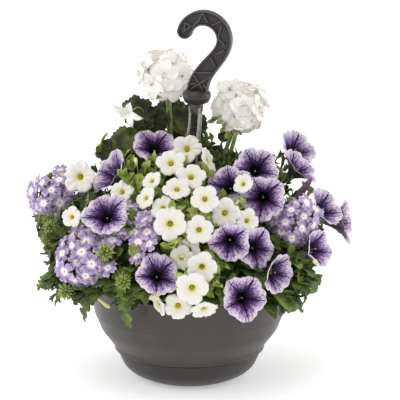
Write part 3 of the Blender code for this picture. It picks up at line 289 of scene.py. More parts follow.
def in_view(point):
    """Whether a point lies inside the planting's outline as the camera sees it."""
    off = point - eye
    far = off.dot(view_forward) * PIXEL / VIEW_DISTANCE
    u, v = PICTURE_MIDDLE + off.dot(view_right) / far, PICTURE_MIDDLE - off.dot(view_up) / far
    inside = False
    for (u0, v0), (u1, v1) in zip(SILHOUETTE, SILHOUETTE[1:] + SILHOUETTE[:1]):
        if (v0 > v) != (v1 > v) and u < u0 + (u1 - u0) * (v - v0) / (v1 - v0):
            inside = not inside
    return inside


def corners_of(node):
    """A search tree over a node's corners."""
    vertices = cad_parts[node].data.vertices
    tree = KDTree(len(vertices))
    for i, vertex in enumerate(vertices):
        tree.insert(vertex.co, i)
    tree.balance()
    return tree


def move_of(node, line, marks):
    """The move that brings most of a flower's marked points onto corners of its node."""
    tree = corners_of(node)
    side = line.cross(Vector((0, 0, 1))).normalized()
    rise = side.cross(line)
    best, most = Vector(), 0
    for (aside, lift), step in itertools.product(NUDGE_ASIDE, NUDGE_STEPS):
        move = line * step + side * aside + rise * lift
        met = sum(tree.find(mark + move)[2] < MATCH for mark in marks)
        if met > most:
            best, most = move, met
    if not most:
        print(node, "keeps its first place")
    return best


print("moves to try:", len(NUDGE_ASIDE) * len(NUDGE_STEPS))

# %% [markdown]
# Petals and leaves are thin sheets: a grid of points, a row at a time, bent by a formula. One class
# gathers the sheets and round stems of a piece, keeps a UV map of how far across and how far along each
# point is, and makes a single mesh of them. Sheets are given their thickness afterwards by a Solidify
# modifier, whose second skin can take another finish for the back of a petal.

# %% Sheets and stems
WELD_REACH = 0.00001


def settle(piece, node):
    """Attaches a piece to the root and hides the node that it stands for."""
    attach(piece, "root")
    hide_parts(node)
    return piece


class Skin:
    """Sheets and stems gathered into one mesh, with a UV map and a finish for each face."""

    def __init__(self):
        self.points, self.faces, self.corners, self.finishes = [], [], [], []
        self.count = 0

    def sheet(self, points, finish=0, wrap=False, place=None, along=None):
        """A grid of rows of points; along gives each row's own share, if it isn't even."""
        points = np.asarray(points, float)
        rows, columns = points.shape[:2]
        flat = points.reshape(-1, 3)
        if place is not None:
            matrix = np.array(place)
            flat = flat @ matrix[:3, :3].T + matrix[:3, 3]
        spans = columns if wrap else columns - 1
        i, j = (grid.ravel() for grid in np.meshgrid(np.arange(rows - 1), np.arange(spans), indexing="ij"))
        k = (j + 1) % columns
        quads = np.stack([i * columns + j, i * columns + k, (i + 1) * columns + k, (i + 1) * columns + j], 1)
        share = np.linspace(0, 1, rows) if along is None else np.asarray(along, float)
        across = np.stack([j, j + 1, j + 1, j], 1) / spans
        ahead = np.stack([share[i], share[i], share[i + 1], share[i + 1]], 1)
        self.points.append(flat)
        self.faces.append(quads + self.count)
        self.corners.append(np.stack([across, ahead], 2).reshape(-1, 2))
        self.finishes.append(np.full(len(quads), finish))
        self.count += len(flat)

    def stem(self, points, radii, sides=6, finish=0):
        """A round stem along points, closed to a tip at both ends."""
        points = [Vector(point) for point in points]
        radii = radii if hasattr(radii, "__len__") else [radii] * len(points)
        normal = None
        rows = [[points[0]] * sides]
        for n, point in enumerate(points):
            ahead = points[min(n + 1, len(points) - 1)] - points[max(n - 1, 0)]
            ahead = ahead.normalized() if ahead.length else Vector((0, 0, 1))
            if normal is None:
                normal = ahead.orthogonal()
            normal = (normal - ahead * normal.dot(ahead)).normalized()
            second = ahead.cross(normal)
            rows.append([point + (normal * cos(2 * pi * k / sides)
                                  + second * sin(2 * pi * k / sides)) * radii[n] for k in range(sides)])
        rows.append([points[-1]] * sides)
        self.sheet(rows, finish, wrap=True)

    def piece(self, name, node, slot, finishes, thickness=0.0):
        """The object made of everything gathered so far, which stands for a node."""
        mesh = bpy.data.meshes.new(name)
        mesh.from_pydata(np.concatenate(self.points).tolist(), [], np.concatenate(self.faces).tolist())
        mesh.uv_layers.new(name="UVMap").data.foreach_set("uv", np.concatenate(self.corners).ravel())
        mesh.polygons.foreach_set("material_index", np.concatenate(self.finishes).astype(np.int32))
        weld = bmesh.new()
        weld.from_mesh(mesh)
        bmesh.ops.remove_doubles(weld, verts=weld.verts, dist=WELD_REACH)
        weld.to_mesh(mesh)
        weld.free()
        mesh.shade_smooth()
        thing = show(name, mesh)
        for finish in finishes:
            mesh.materials.append(finish)
        if thickness:
            solid = thing.modifiers.new("Thickness", "SOLIDIFY")
            solid.thickness = thickness
            solid.offset = 0
            solid.material_offset = 1
        return settle(thing, node)


print("sheet and stem maker ready")

# %% [markdown]
# A stem's way is a smooth curve through a few points. A turned part is its section spun round the axis
# by a Screw modifier, which is how a mould for it would be cut too.

# %% Curves and turned parts
TURN_STEPS = 96


def smooth_path(points, steps=14):
    """A curve through points, by Catmull and Rom's rule."""
    ends = [points[0] * 2 - points[1], *points, points[-1] * 2 - points[-2]]
    path = []
    for a, b, c, d in zip(ends, ends[1:], ends[2:], ends[3:]):
        count = steps // (len(points) - 1) + 1
        for t in (i / count for i in range(count)):
            path.append(0.5 * (2 * b + (c - a) * t + (2 * a - 5 * b + 4 * c - d) * t ** 2
                               + (3 * b - a - 3 * c + d) * t ** 3))
    return path + [points[-1]]


def mesh_of(name, skin):
    """A mesh with the points and faces of a bmesh, which is then freed."""
    mesh = bpy.data.meshes.new(name)
    skin.to_mesh(mesh)
    skin.free()
    return mesh


def rings_of(name, rings, finish):
    """A turned solid from (radius, height) pairs that run round its section."""
    skin = bmesh.new()
    points = [skin.verts.new((radius, 0, height)) for radius, height in rings]
    for a, b in zip(points, points[1:]):
        skin.edges.new((a, b))
    thing = show(name, mesh_of(name, skin))
    screw = thing.modifiers.new("Turn", "SCREW")
    screw.steps = screw.render_steps = TURN_STEPS
    screw.use_merge_vertices = True
    screw.merge_threshold = 2 * WELD_REACH
    thing.data.materials.append(finish)
    thing.data.shade_smooth()
    return thing


print("steps round a turned part:", TURN_STEPS)

# %% [markdown]
# Every finish starts from sRGB hex colours, turned to linear light by one function, and one more adds a
# shader node with its settings and links. Pattern sizes are real ones. Object coordinates are metres, so
# a pattern that repeats every 60 mm has a scale of MM / 60, where MM is the millimetres in a metre.

# %% Colour and nodes
MM = 1000


def linear(code):
    """An sRGB hex colour as linear light with full opacity."""
    shares = [int(code[i:i + 2], 16) / 255 for i in (1, 3, 5)]
    return [s / 12.92 if s <= 0.04045 else ((s + 0.055) / 1.055) ** 2.4 for s in shares] + [1]


def add(tree, kind, inputs=None, stops=None, **settings):
    """Adds a node with its settings, its inputs' values or links and its colour stops; gives its outputs."""
    node = tree.nodes.new("ShaderNode" + kind)
    for key, value in settings.items():
        setattr(node, key, value)
    for socket, value in (inputs or {}).items():
        if isinstance(value, bpy.types.NodeSocket):
            tree.links.new(value, node.inputs[socket])
        else:
            node.inputs[socket].default_value = value
    for i, (share, code) in enumerate(stops or ()):
        elements = node.color_ramp.elements
        element = elements[i] if i < len(elements) else elements.new(share)
        element.position = share
        element.color = linear(code)
    return node.outputs


def new_finish(name, roughness, settings=None):
    """A material with its uniform settings; returns it with its tree and its surface."""
    finish = bpy.data.materials.new(name)
    finish.use_nodes = True
    surface = finish.node_tree.nodes["Principled BSDF"]
    for socket, value in {"Roughness": roughness, **(settings or {})}.items():
        surface.inputs[socket].default_value = value
    return finish, finish.node_tree, surface


def connect(tree, surface, colour=None, height=None, strength=0.3, distance=0.0005):
    """Links a colour and a relief to a surface."""
    if colour is not None:
        tree.links.new(colour, surface.inputs["Base Color"])
    if height is not None:
        bump = add(tree, "Bump", {"Height": height, "Strength": strength, "Distance": distance})
        tree.links.new(bump["Normal"], surface.inputs["Normal"])


print("mid grey is", round(linear("#808080")[0], 3), "in linear light")

# %% [markdown]
# The bowl, saucer and hook are injection-moulded polypropylene, coloured grey in the mass. The mould was
# spark-eroded, which leaves a fine grain and a satin sheen. Polypropylene has an IOR of 1.49. The grain
# is about 0.3 mm in reality, too fine to show, and is drawn at 0.9 mm. The hook's web is the same plastic
# in a darker tone, painted shade, because it lies in shade between its rails. The saucer's darker tone is
# painted shade as well, for its underside, which gets no light from below, and the hook's lighter tone is
# partly its own grey and partly painted light on its raised rails and ribs. The wires are drawn steel,
# galvanised hot: a dull metal with faint spangles of about 8 mm.

# %% Moulded plastic and galvanised wire
GRAIN_MM = 0.9


def moulded_polypropylene(name, dark, light, roughness):
    """Grey plastic with a spark-eroded grain and slight clouding of its colour."""
    finish, tree, surface = new_finish(name, roughness, {"IOR": 1.49})
    place = add(tree, "TexCoord")["Object"]
    cloud = add(tree, "TexNoise", {"Vector": place, "Scale": MM / 40, "Detail": 4.0})
    grain = add(tree, "TexNoise", {"Vector": place, "Scale": MM / GRAIN_MM, "Detail": 1.0})
    blend = add(tree, "Math", {0: cloud["Fac"], 1: grain["Fac"]}, operation="ADD")
    half = add(tree, "Math", {0: blend[0], 1: 0.5}, operation="MULTIPLY")
    colour = add(tree, "ValToRGB", {"Fac": half[0]}, stops=((0.38, dark), (0.62, light)))
    connect(tree, surface, colour["Color"], grain["Fac"], 0.25, 0.00012)
    return finish


pot_plastic = moulded_polypropylene("moulded_polypropylene_satin_grey", "#322d2a", "#3d3733", 0.38)
# The saucer's darker tone is painted shade, for an underside that gets no light from below.
saucer_plastic_painted_shade = moulded_polypropylene("moulded_polypropylene_saucer_painted_shade", "#262220", "#2f2a27", 0.4)
# The hook's lighter tone is partly its own grey and partly painted light on its raised rails and ribs.
hook_plastic = moulded_polypropylene("moulded_polypropylene_hook_grey_painted_light", "#3c3837", "#4a4544", 0.36)
web_plastic = moulded_polypropylene("moulded_polypropylene_web_shaded", "#211e1d", "#2d2928", 0.5)

wire_steel, tree, surface = new_finish("galvanised_steel_wire", 0.38, {"Metallic": 0.9})
spangle = add(tree, "TexNoise", {"Vector": add(tree, "TexCoord")["Object"], "Scale": MM / 8, "Detail": 3.0})
shade = add(tree, "ValToRGB", {"Fac": spangle["Fac"]}, stops=((0.35, "#87827f"), (0.65, "#a39e9a")))
connect(tree, surface, shade["Color"], spangle["Fac"], 0.03, 0.0001)
print("plastic grain drawn at", GRAIN_MM, "mm")

# %% [markdown]
# The bowl and saucer repeat the construction model's profiles with four times as many steps round, and
# rounded edges at the rim, the waist and the saucer's lip. A turned profile with a Screw modifier is
# how the mould itself was made.

# %% Bowl and saucer
RIM_RADIUS = 0.139
RIM_THICKNESS = 0.0034


def rounded(profile, radius, steps=3):
    """A profile with its corners rounded, ends apart."""
    points = [Vector(point) for point in profile]
    smooth = [points[0]]
    for before, corner, after in zip(points, points[1:], points[2:]):
        reach = min(radius, (before - corner).length * 0.45, (after - corner).length * 0.45)
        start = corner + (before - corner).normalized() * reach
        end = corner + (after - corner).normalized() * reach
        for i in range(steps + 1):
            t = i / steps
            smooth.append(start * (1 - t) ** 2 + corner * 2 * t * (1 - t) + end * t ** 2)
    return [tuple(point) for point in smooth + [points[-1]]]


bowl_profile = (
    (0.0, 0.0052), (0.055, 0.0052), (0.085, 0.0218), (0.0885, 0.0325), (0.1008, 0.0478),
    (0.1243, 0.0868), (0.1306, POT_HEIGHT),
    (RIM_RADIUS, POT_HEIGHT), (RIM_RADIUS, POT_HEIGHT - RIM_THICKNESS),
    (0.1324, POT_HEIGHT - RIM_THICKNESS), (0.1305, 0.106), (0.1269, 0.0872), (0.1261, 0.0866), (0.1186, 0.0672),
    (0.1024, 0.0466), (0.1004, 0.0436), (0.1002, 0.0422), (0.1009, 0.0404), (0.1005, 0.0388),
    (0.0988, 0.0382), (0.0921, 0.0376), (0.0905, 0.0325), (0.0917, 0.0288),
    (0.087, 0.02), (0.056, 0.0028), (0.0, 0.0028),
)
saucer_profile = (
    (0.0, 0.0025), (0.0575, 0.0025), (0.0882, 0.0196), (0.0922, 0.0288), (0.0912, 0.0325),
    (0.0932, 0.037), (0.0961, 0.037), (0.0938, 0.029), (0.088, 0.017),
    (0.079, 0.0085), (0.061, 0.0), (0.0, 0.0),
)
for name, profile, radius, plastic in (("bowl", bowl_profile, 0.006, pot_plastic),
                                       ("saucer", saucer_profile, 0.004, saucer_plastic_painted_shade)):
    turned = settle(rings_of(name + "_moulding", rounded(profile, radius), plastic), name)
    print(name, "profile points:", len(turned.data.vertices))

# %% [markdown]
# The hook is a flat moulding: a thin web between two raised edges, stiffened by slanting ribs, which
# ends in a turned collar that grips the three wires. The same centre line and widths are used, with
# more stations. Each member is an outline given thickness and a small bevel, so its edges catch light
# as a moulding's do.

# %% Hook outline
WIRE_SPREAD = 0.0092
WIRE_AZIMUTHS = (-100, 20, 140)
HANGER_LEAN = 0.0098
LEAN = Vector((HANGER_LEAN, 0, 0))
HOOK_TURN = radians(-19)
THROAT_SWEEP = 163
SKIRT_TOP = 0.017
SKIRT_RADIUS = 0.0082
SKIRT_TAPER = 0.0006
SKIRT_SCALLOP = 0.0085
SKIRT_THICKNESS = 0.0016
THROAT_RADIUS = 0.0182
HOOK_BAND = 0.0203
HOOK_BASE_BAND = 0.029
HOOK_DEPTH = 0.0094
HOOK_WEB = 0.0026
HOOK_RAIL = 0.0024
HOOK_STATIONS = 49
RIB_HALF = 0.001
RIB_DEPTH = 0.0078
RING_OFFSET = 0.0109
RING_HEIGHT = 0.4638
COLLAR_BOTTOM = 0.3616
COLLAR_TOP = 0.393
COLLAR_RADIUS = 0.0191
ARC_SHARE = 0.62


def hook_middle(share):
    """The middle line of the hook in its own plane, and its width there, by share of its length."""
    reach = THROAT_RADIUS + HOOK_BAND / 2
    if share < ARC_SHARE:
        angle = radians(THROAT_SWEEP - THROAT_SWEEP * share / ARC_SHARE)
        middle = Vector((RING_OFFSET + reach * cos(angle), RING_HEIGHT + reach * sin(angle)))
        return middle, HOOK_BAND
    part = (share - ARC_SHARE) / (1 - ARC_SHARE)
    start = Vector((RING_OFFSET + reach, RING_HEIGHT))
    corners = (start, start - Vector((0, 0.026)), Vector((0.001, COLLAR_TOP + 0.03)),
               Vector((0.001, COLLAR_TOP - 0.006)))
    rest = 1 - part
    weights = (rest ** 3, 3 * rest ** 2 * part, 3 * rest * part ** 2, part ** 3)
    point = sum((corner * weight for corner, weight in zip(corners, weights)), Vector((0, 0)))
    return point, HOOK_BAND + (HOOK_BASE_BAND - HOOK_BAND) * part ** 1.5


def hook_edges(inset, count, end=1.0):
    """The hook's outer and inner edges, each moved in by inset."""
    outer, inner = [], []
    for i in range(count):
        share = end * i / (count - 1)
        point, width = hook_middle(share)
        ahead = (hook_middle(min(share + 0.01, 1))[0] - hook_middle(max(share - 0.01, 0))[0]).normalized()
        normal = Vector((-ahead.y, ahead.x))
        outer.append(point + normal * (width / 2 - inset))
        inner.append(point - normal * (width / 2 - inset))
    return outer, inner


def hook_tip(outer, inner):
    """The round end that joins the inner edge to the outer one at the hook's tip."""
    middle, half = (outer[0] + inner[0]) / 2, (outer[0] - inner[0]) / 2
    ahead = Vector((half.y, -half.x))
    return [middle - half * cos(angle) - ahead * sin(angle)
            for angle in (radians(turn) for turn in range(20, 180, 20))]


def on_hook(pixel):
    """Where a sight line meets the hook's own plane, as a point of that plane."""
    line = sight_line(pixel)
    across = Vector((cos(HOOK_TURN), sin(HOOK_TURN), 0))
    normal = Vector((-across.y, across.x, 0))
    point = eye + line * ((LEAN - eye).dot(normal) / line.dot(normal))
    return Vector(((point - LEAN).dot(across), point.z))


def plate(name, outline, thickness, bevel, finish=hook_plastic):
    """A flat outline with thickness and rounded edges, stood up in the hook's plane."""
    curve = bpy.data.curves.new(name, "CURVE")
    curve.dimensions = "2D"
    curve.fill_mode = "BOTH"
    curve.extrude = thickness / 2
    curve.bevel_depth = bevel
    curve.bevel_resolution = 1
    curve.offset = -bevel
    spline = curve.splines.new("POLY")
    spline.points.add(len(outline) - 1)
    spline.use_cyclic_u = True
    for slot, point in zip(spline.points, outline):
        slot.co = (*point, 0, 1)
    thing = show(name, curve)
    thing.matrix_world = (Matrix.Translation(LEAN) @ Matrix.Rotation(HOOK_TURN, 4, "Z")
                          @ Matrix.Rotation(radians(90), 4, "X"))
    curve.materials.append(finish)
    settle(thing, "hook")


# Ribs of the hook, by the pixels of their two ends
HOOK_RIBS = (
    ((186, 22), (185, 31)), ((186, 22), (193, 26)), ((184, 31), (193, 25)), ((193, 26), (199, 21)),
    ((203.5, 12), (199, 22)), ((203.5, 12), (208.5, 22)), ((212, 25), (222, 21)), ((222.5, 25), (218.5, 38)),
    ((218.5, 38), (226, 45)), ((216.5, 54), (225, 50)), ((211.5, 57), (216, 66)), ((196, 72), (213, 72)),
    ((194.5, 74), (204.5, 91)), ((211.5, 76), (188, 91)), ((188, 83), (197, 83)), ((204, 84), (207, 88)),
)
print("hook top, metres:", round(RING_HEIGHT + THROAT_RADIUS + HOOK_BAND, 3))

# %% [markdown]
# The web lies deep between two rails, and a fine raised line runs inside each of them. The ribs lead to
# points that were read off by pixel. Below them come the turned collar, a waisted skirt round the
# wires, and a sleeve for each wire. Flat outlines with thickness keep their edges crisp, which a swept
# tube wouldn't.

# %% Hook and collar
outer, inner = hook_edges(0, HOOK_STATIONS)
outer_in, inner_in = hook_edges(HOOK_RAIL, HOOK_STATIONS)
outer_web, inner_web = hook_edges(HOOK_RAIL / 2, HOOK_STATIONS, 0.995)
plate("hook_web", inner_web[::-1] + hook_tip(outer_web, inner_web) + outer_web, HOOK_WEB, 0.0, web_plastic)
plate("hook_rail", inner[::-1] + hook_tip(outer, inner) + outer + outer_in[::-1]
      + hook_tip(outer_in, inner_in)[::-1] + inner_in, HOOK_DEPTH - 0.0008, 0.0004)
for i, ends in enumerate(HOOK_RIBS):
    start, end = (on_hook(pixel) for pixel in ends)
    along = (end - start).normalized()
    side = Vector((-along.y, along.x)) * RIB_HALF
    plate(f"hook_rib_{i + 1}", [start - side, end - side, end + side, start + side], RIB_DEPTH, 0.0003)
outer_line, inner_line = hook_edges(HOOK_RAIL * 2.1, HOOK_STATIONS, 0.95)
for name, line in (("outer", outer_line), ("inner", inner_line)):
    edge = [point + (after - before).orthogonal().normalized() * 0.0005
            for before, point, after in zip([line[0]] + line, line, line[1:] + [line[-1]])
            if (after - before).length]
    plate(f"hook_{name}_line", line + edge[::-1], RIB_DEPTH * 0.75, 0.0)
# The collar's section: radius, and height above its top
BARREL = ((0.0, 0.001), (0.014, 0.001), (0.018, -0.0025), (COLLAR_RADIUS, -0.0055), (0.0188, -0.009),
          (0.0162, -0.0155), (0.011, -0.018), (0.0, -0.018))
# The collar takes the saucer's plastic, whose darker tone is painted shade.
collar = rings_of("hook_collar", rounded([(out, COLLAR_TOP + up) for out, up in BARREL], 0.0009), saucer_plastic_painted_shade)
collar.location.x = HANGER_LEAN
skirt, sleeves = Skin(), Skin()
rows = []
for share in np.linspace(0, 1, 8):
    row = []
    for azimuth in range(0, 360, 5):
        nearness = max(cos(radians(azimuth - wire)) for wire in WIRE_AZIMUTHS)
        low = COLLAR_BOTTOM + SKIRT_SCALLOP * (1 - max(0, (nearness - 0.5) * 2) ** 0.7)
        top = COLLAR_TOP - SKIRT_TOP
        row.append(around(azimuth, SKIRT_RADIUS - SKIRT_TAPER * share, top + (low - top) * share) + LEAN)
    rows.append(row)
skirt.sheet(rows, wrap=True)
skirt.piece("hook_skirt", "hook", "hook_plastic", [hook_plastic] * 2, SKIRT_THICKNESS)
for azimuth in WIRE_AZIMUTHS:
    levels = (COLLAR_TOP - down for down in (0.016, 0.017, 0.0205, 0.0215))
    sleeves.stem([around(azimuth, WIRE_SPREAD, level) + LEAN for level in levels],
                 [0.0034, 0.0034, 0.0028, 0.0024], sides=16)
sleeves.piece("hook_sleeves", "hook", "hook_plastic", [hook_plastic])
settle(collar, "hook")
print("hook ribs:", len(HOOK_RIBS))

# %% [markdown]
# Three galvanised wires run from the collar to holes in the rim. They part only slowly near the
# collar, then spread to the rim, and each ends in a small bent foot under it. Drawn wire is round and
# even, so a stem along points is all that it needs.

# %% Wires
WIRE_HOLE_RADIUS = 0.1352
FLARE_TOP = 0.35
FLARE_BOTTOM = POT_HEIGHT + 0.006
# How late the wires part: the power of the share of their way down
FLARE = 2.3
WIRE_STEPS = 28


def wire_route(azimuth):
    """A wire's points, from inside the collar to its foot under the rim."""
    points = [around(azimuth, WIRE_SPREAD, height) + LEAN for height in (COLLAR_TOP - 0.015, COLLAR_BOTTOM - 0.004)]
    for i in range(1, WIRE_STEPS + 1):
        share = i / WIRE_STEPS
        radius = WIRE_SPREAD + (WIRE_HOLE_RADIUS - WIRE_SPREAD) * share ** FLARE
        height = FLARE_TOP + (FLARE_BOTTOM - FLARE_TOP) * share
        points.append(around(azimuth, radius, height) + LEAN * (1 - share) ** 3)
    foot = POT_HEIGHT - RIM_THICKNESS - WIRE_RADIUS - 0.0004
    return points + [around(azimuth + turn, WIRE_HOLE_RADIUS + out, foot + up)
                     for turn, out, up in ((0, 0, 0.001), (0.5, 0.0002, 0), (3.5, 0.0004, 0))]


for name, azimuth in numbered("wire", WIRE_AZIMUTHS).items():
    skin = Skin()
    skin.stem(wire_route(azimuth), WIRE_RADIUS, sides=14)
    skin.piece(name + "_drawn", name, "wire", [wire_steel])
print("wires:", len(WIRE_AZIMUTHS))

# %% [markdown]
# Petals are cells full of pigment under a velvety skin of tiny domed cells, so they are matt with a soft
# sheen. A petunia's throat is almost black, dark veins run from it to the edge, and the colour between
# them pales to a lilac-white margin. The UV map's second coordinate is the distance from the middle, so
# a ramp along it, pushed in and out by streaks that are thin across and long along, draws the veins.

# %% Petunia petals
LOBES = 5


def off_middle(tree, share):
    """How far a share of a petal or leaf is from one half."""
    off = add(tree, "Math", {0: share, 1: 0.5}, operation="SUBTRACT")
    return add(tree, "Math", {0: off[0]}, operation="ABSOLUTE")[0]


def petunia_petal(name, stops, star, net_pull):
    """Petal colour by distance from the middle, pulled darker along the main veins and a net of fine ones."""
    finish, tree, surface = new_finish(name, 0.62, {"Specular IOR Level": 0.12})
    place = add(tree, "SeparateXYZ", {"Vector": add(tree, "TexCoord")["UV"]})
    turn = add(tree, "Math", {0: place["X"], 1: 2 * pi}, operation="MULTIPLY")[0]
    ring = add(tree, "CombineXYZ", {
        "X": add(tree, "Math", {0: turn}, operation="COSINE")[0],
        "Y": add(tree, "Math", {0: turn}, operation="SINE")[0], "Z": place["Y"]})
    across = add(tree, "Math", {0: place["X"], 1: float(LOBES)}, operation="MULTIPLY")[0]
    phase = add(tree, "Math", {0: across}, operation="FRACT")[0]
    off = off_middle(tree, phase)
    span = add(tree, "Math", {0: off, 1: place["Y"]}, operation="MULTIPLY")[0]
    vein = add(tree, "MapRange", {"Value": span, "From Min": 0.004, "From Max": 0.03, "To Min": star,
                                  "To Max": 0.0}, interpolation_type="SMOOTHSTEP")
    shade = add(tree, "MapRange", {"Value": off, "From Min": 0.0, "From Max": 0.5, "To Min": star * 0.7,
                                   "To Max": 0.0})
    streaks = add(tree, "Mapping", {"Vector": ring[0], "Scale": (6.5, 6.5, 1.4)})
    streak = add(tree, "TexNoise", {"Vector": streaks[0], "Scale": 1.0, "Detail": 3.0})
    netting = add(tree, "Mapping", {"Vector": ring[0], "Scale": (11.0, 11.0, 5.0)})
    net = add(tree, "TexVoronoi", {"Vector": netting[0], "Scale": 1.0}, feature="DISTANCE_TO_EDGE")
    lines = add(tree, "MapRange", {"Value": net["Distance"], "From Min": 0.0, "From Max": 0.16,
                                   "To Min": net_pull, "To Max": -net_pull * 0.35})
    level = place["Y"]
    for pull in (vein[0], shade[0], lines[0]):
        level = add(tree, "Math", {0: level, 1: pull}, operation="SUBTRACT")[0]
    level = add(tree, "Math", {0: streak["Fac"], 1: 0.42, 2: level}, operation="MULTIPLY_ADD")[0]
    level = add(tree, "Math", {0: level, 1: 0.21}, operation="SUBTRACT")[0]
    colour = add(tree, "ValToRGB", {"Fac": level}, stops=stops)
    connect(tree, surface, colour["Color"], streak["Fac"], 0.5, 0.0006)
    return finish


petunia_face = petunia_petal("petunia_petal_veined", (
    (0.06, "#09080c"), (0.18, "#1b1026"), (0.32, "#371f4c"), (0.45, "#5a4074"), (0.56, "#8a729c"),
    (0.67, "#ae9bb8"), (0.8, "#cfc1d0"), (1.0, "#e0d7dd")), star=0.24, net_pull=0.2)
petunia_back = petunia_petal("petunia_petal_underside", (
    (0.05, "#68645c"), (0.22, "#463548"), (0.45, "#6a5570"), (0.72, "#958198"), (1.0, "#bcadbc")),
    star=0.24, net_pull=0.16)
print("petunia finishes: face and underside")

# %% [markdown]
# Calibrachoa petals are a warm white with an olive-yellow throat that sends short faint lines into the
# face. Verbena florets have a cream eye in a violet ring, and lilac petals that vary from floret to
# floret. Geranium petals are plain white with faint veins, and so thin that light from behind glows in
# them. A faint emission stands for that, because a petal is a closed shell here.

# %% White and lilac petals
def plain_petal(name, stops, streaks, lines, roughness=0.6, variety=0.0, glow=0.0):
    """Petal colour by distance from the middle, with faint streaks and slight change from place to place."""
    finish, tree, surface = new_finish(name, roughness, {
        "Specular IOR Level": 0.2, "Emission Color": (1.0, 0.98, 0.95, 1), "Emission Strength": glow})
    place = add(tree, "SeparateXYZ", {"Vector": add(tree, "TexCoord")["UV"]})
    spread = add(tree, "CombineXYZ", {"X": place["X"], "Y": place["Y"]})
    drawn = add(tree, "Mapping", {"Vector": spread[0], "Scale": (lines, 1.5, 1.0)})
    streak = add(tree, "TexNoise", {"Vector": drawn[0], "Scale": 1.0, "Detail": 2.0})
    shift = add(tree, "Math", {0: streak["Fac"], 1: streaks, 2: place["Y"]}, operation="MULTIPLY_ADD")
    level = add(tree, "Math", {0: shift[0], 1: streaks * 0.5}, operation="SUBTRACT")
    colour = add(tree, "ValToRGB", {"Fac": level[0]}, stops=stops)["Color"]
    if variety:
        world = add(tree, "TexCoord")["Object"]
        change = add(tree, "TexNoise", {"Vector": world, "Scale": MM / 16, "Detail": 1.0})
        value = add(tree, "MapRange", {"Value": change["Fac"], "From Min": 0.3, "From Max": 0.7,
                                       "To Min": 1 - variety, "To Max": 1 + variety})
        colour = add(tree, "HueSaturation", {"Color": colour, "Value": value[0]})["Color"]
    connect(tree, surface, colour, streak["Fac"], 0.4, 0.0005)
    return finish


calibrachoa_face = plain_petal("calibrachoa_petal_white", (
    (0.05, "#a3963a"), (0.13, "#c2b652"), (0.21, "#d2ca78"), (0.31, "#dedab8"), (0.46, "#dfdcd3"),
    (1.0, "#e4e1db")), streaks=0.14, lines=30)
calibrachoa_back = plain_petal("calibrachoa_petal_underside", (
    (0.08, "#a5ab78"), (0.3, "#d0d0b2"), (0.6, "#dcdad0"), (1.0, "#e0ddd8")), streaks=0.1, lines=30)
verbena_petal = plain_petal("verbena_petal_lilac", (
    (0.04, "#98964e"), (0.09, "#e6e0b4"), (0.16, "#f4f0e6"), (0.29, "#ece3ea"), (0.4, "#c0adcb"),
    (0.62, "#9c82b2"), (0.85, "#ae9abd"), (1.0, "#d0c4d5")), streaks=0.16, lines=30, variety=0.22)
geranium_petal = plain_petal("geranium_petal_white", (
    (0.0, "#cbb892"), (0.1, "#dcd7cb"), (0.24, "#e2dfda"), (0.85, "#e4e1dc"), (1.0, "#d8d2c9")),
    streaks=0.16, lines=12, glow=0.15)
print("white and lilac finishes: 4")

# %% [markdown]
# Leaves are green from chlorophyll under a thin wax, so they are satin, IOR about 1.45, and lighter along
# the midrib and side veins. The UV map's first coordinate runs across the blade, with the midrib at 0.5.
# Side veins are a slanted wave of both coordinates. Colour also drifts over centimetres, so that young
# and old leaves differ.

# %% Leaves
def leaf_finish(name, dark, middle, light, veins, roughness=0.5, rounds=False):
    """A leaf's green with its veins; a round leaf's veins fan out and it has a dark zone."""
    finish, tree, surface = new_finish(name, roughness, {"IOR": 1.45, "Specular IOR Level": 0.35})
    coordinates = add(tree, "TexCoord")
    place = add(tree, "SeparateXYZ", {"Vector": coordinates["UV"]})
    off = off_middle(tree, place["X"])
    if rounds:
        fan = add(tree, "Math", {0: place["X"], 1: float(veins)}, operation="MULTIPLY")[0]
    else:
        slant = add(tree, "Math", {0: off, 1: -0.8, 2: place["Y"]}, operation="MULTIPLY_ADD")[0]
        fan = add(tree, "Math", {0: slant, 1: float(veins)}, operation="MULTIPLY")[0]
    phase = add(tree, "Math", {0: fan}, operation="FRACT")[0]
    side = add(tree, "MapRange", {"Value": off_middle(tree, phase), "From Min": 0.0, "From Max": 0.12,
                                  "To Min": 1.0, "To Max": 0.0})
    middle_vein = add(tree, "MapRange", {"Value": off, "From Min": 0.0, "From Max": 0.06,
                                         "To Min": 1.0, "To Max": 0.0})
    lines = side[0]
    if not rounds:
        lines = add(tree, "Math", {0: lines, 1: middle_vein[0]}, operation="MAXIMUM")[0]
    drift = add(tree, "TexNoise", {"Vector": coordinates["Object"], "Scale": MM / 28, "Detail": 3.0})
    base = add(tree, "ValToRGB", {"Fac": drift["Fac"]}, stops=((0.36, dark), (0.5, middle), (0.66, light)))
    colour = base["Color"]
    if rounds:
        zone = add(tree, "ValToRGB", {"Fac": place["Y"]},
                   stops=((0.45, "#ffffff"), (0.62, "#a8a49c"), (0.74, "#a8a49c"), (0.86, "#ffffff")))
        colour = add(tree, "MixRGB", {"Fac": 1.0, "Color1": colour, "Color2": zone["Color"]},
                     blend_type="MULTIPLY")["Color"]
    share = add(tree, "Math", {0: lines, 1: 0.38}, operation="MULTIPLY")[0]
    veined = add(tree, "MixRGB", {"Fac": share, "Color1": colour, "Color2": linear(light)})
    connect(tree, surface, veined["Color"], lines, 0.5, -0.0005)
    return finish


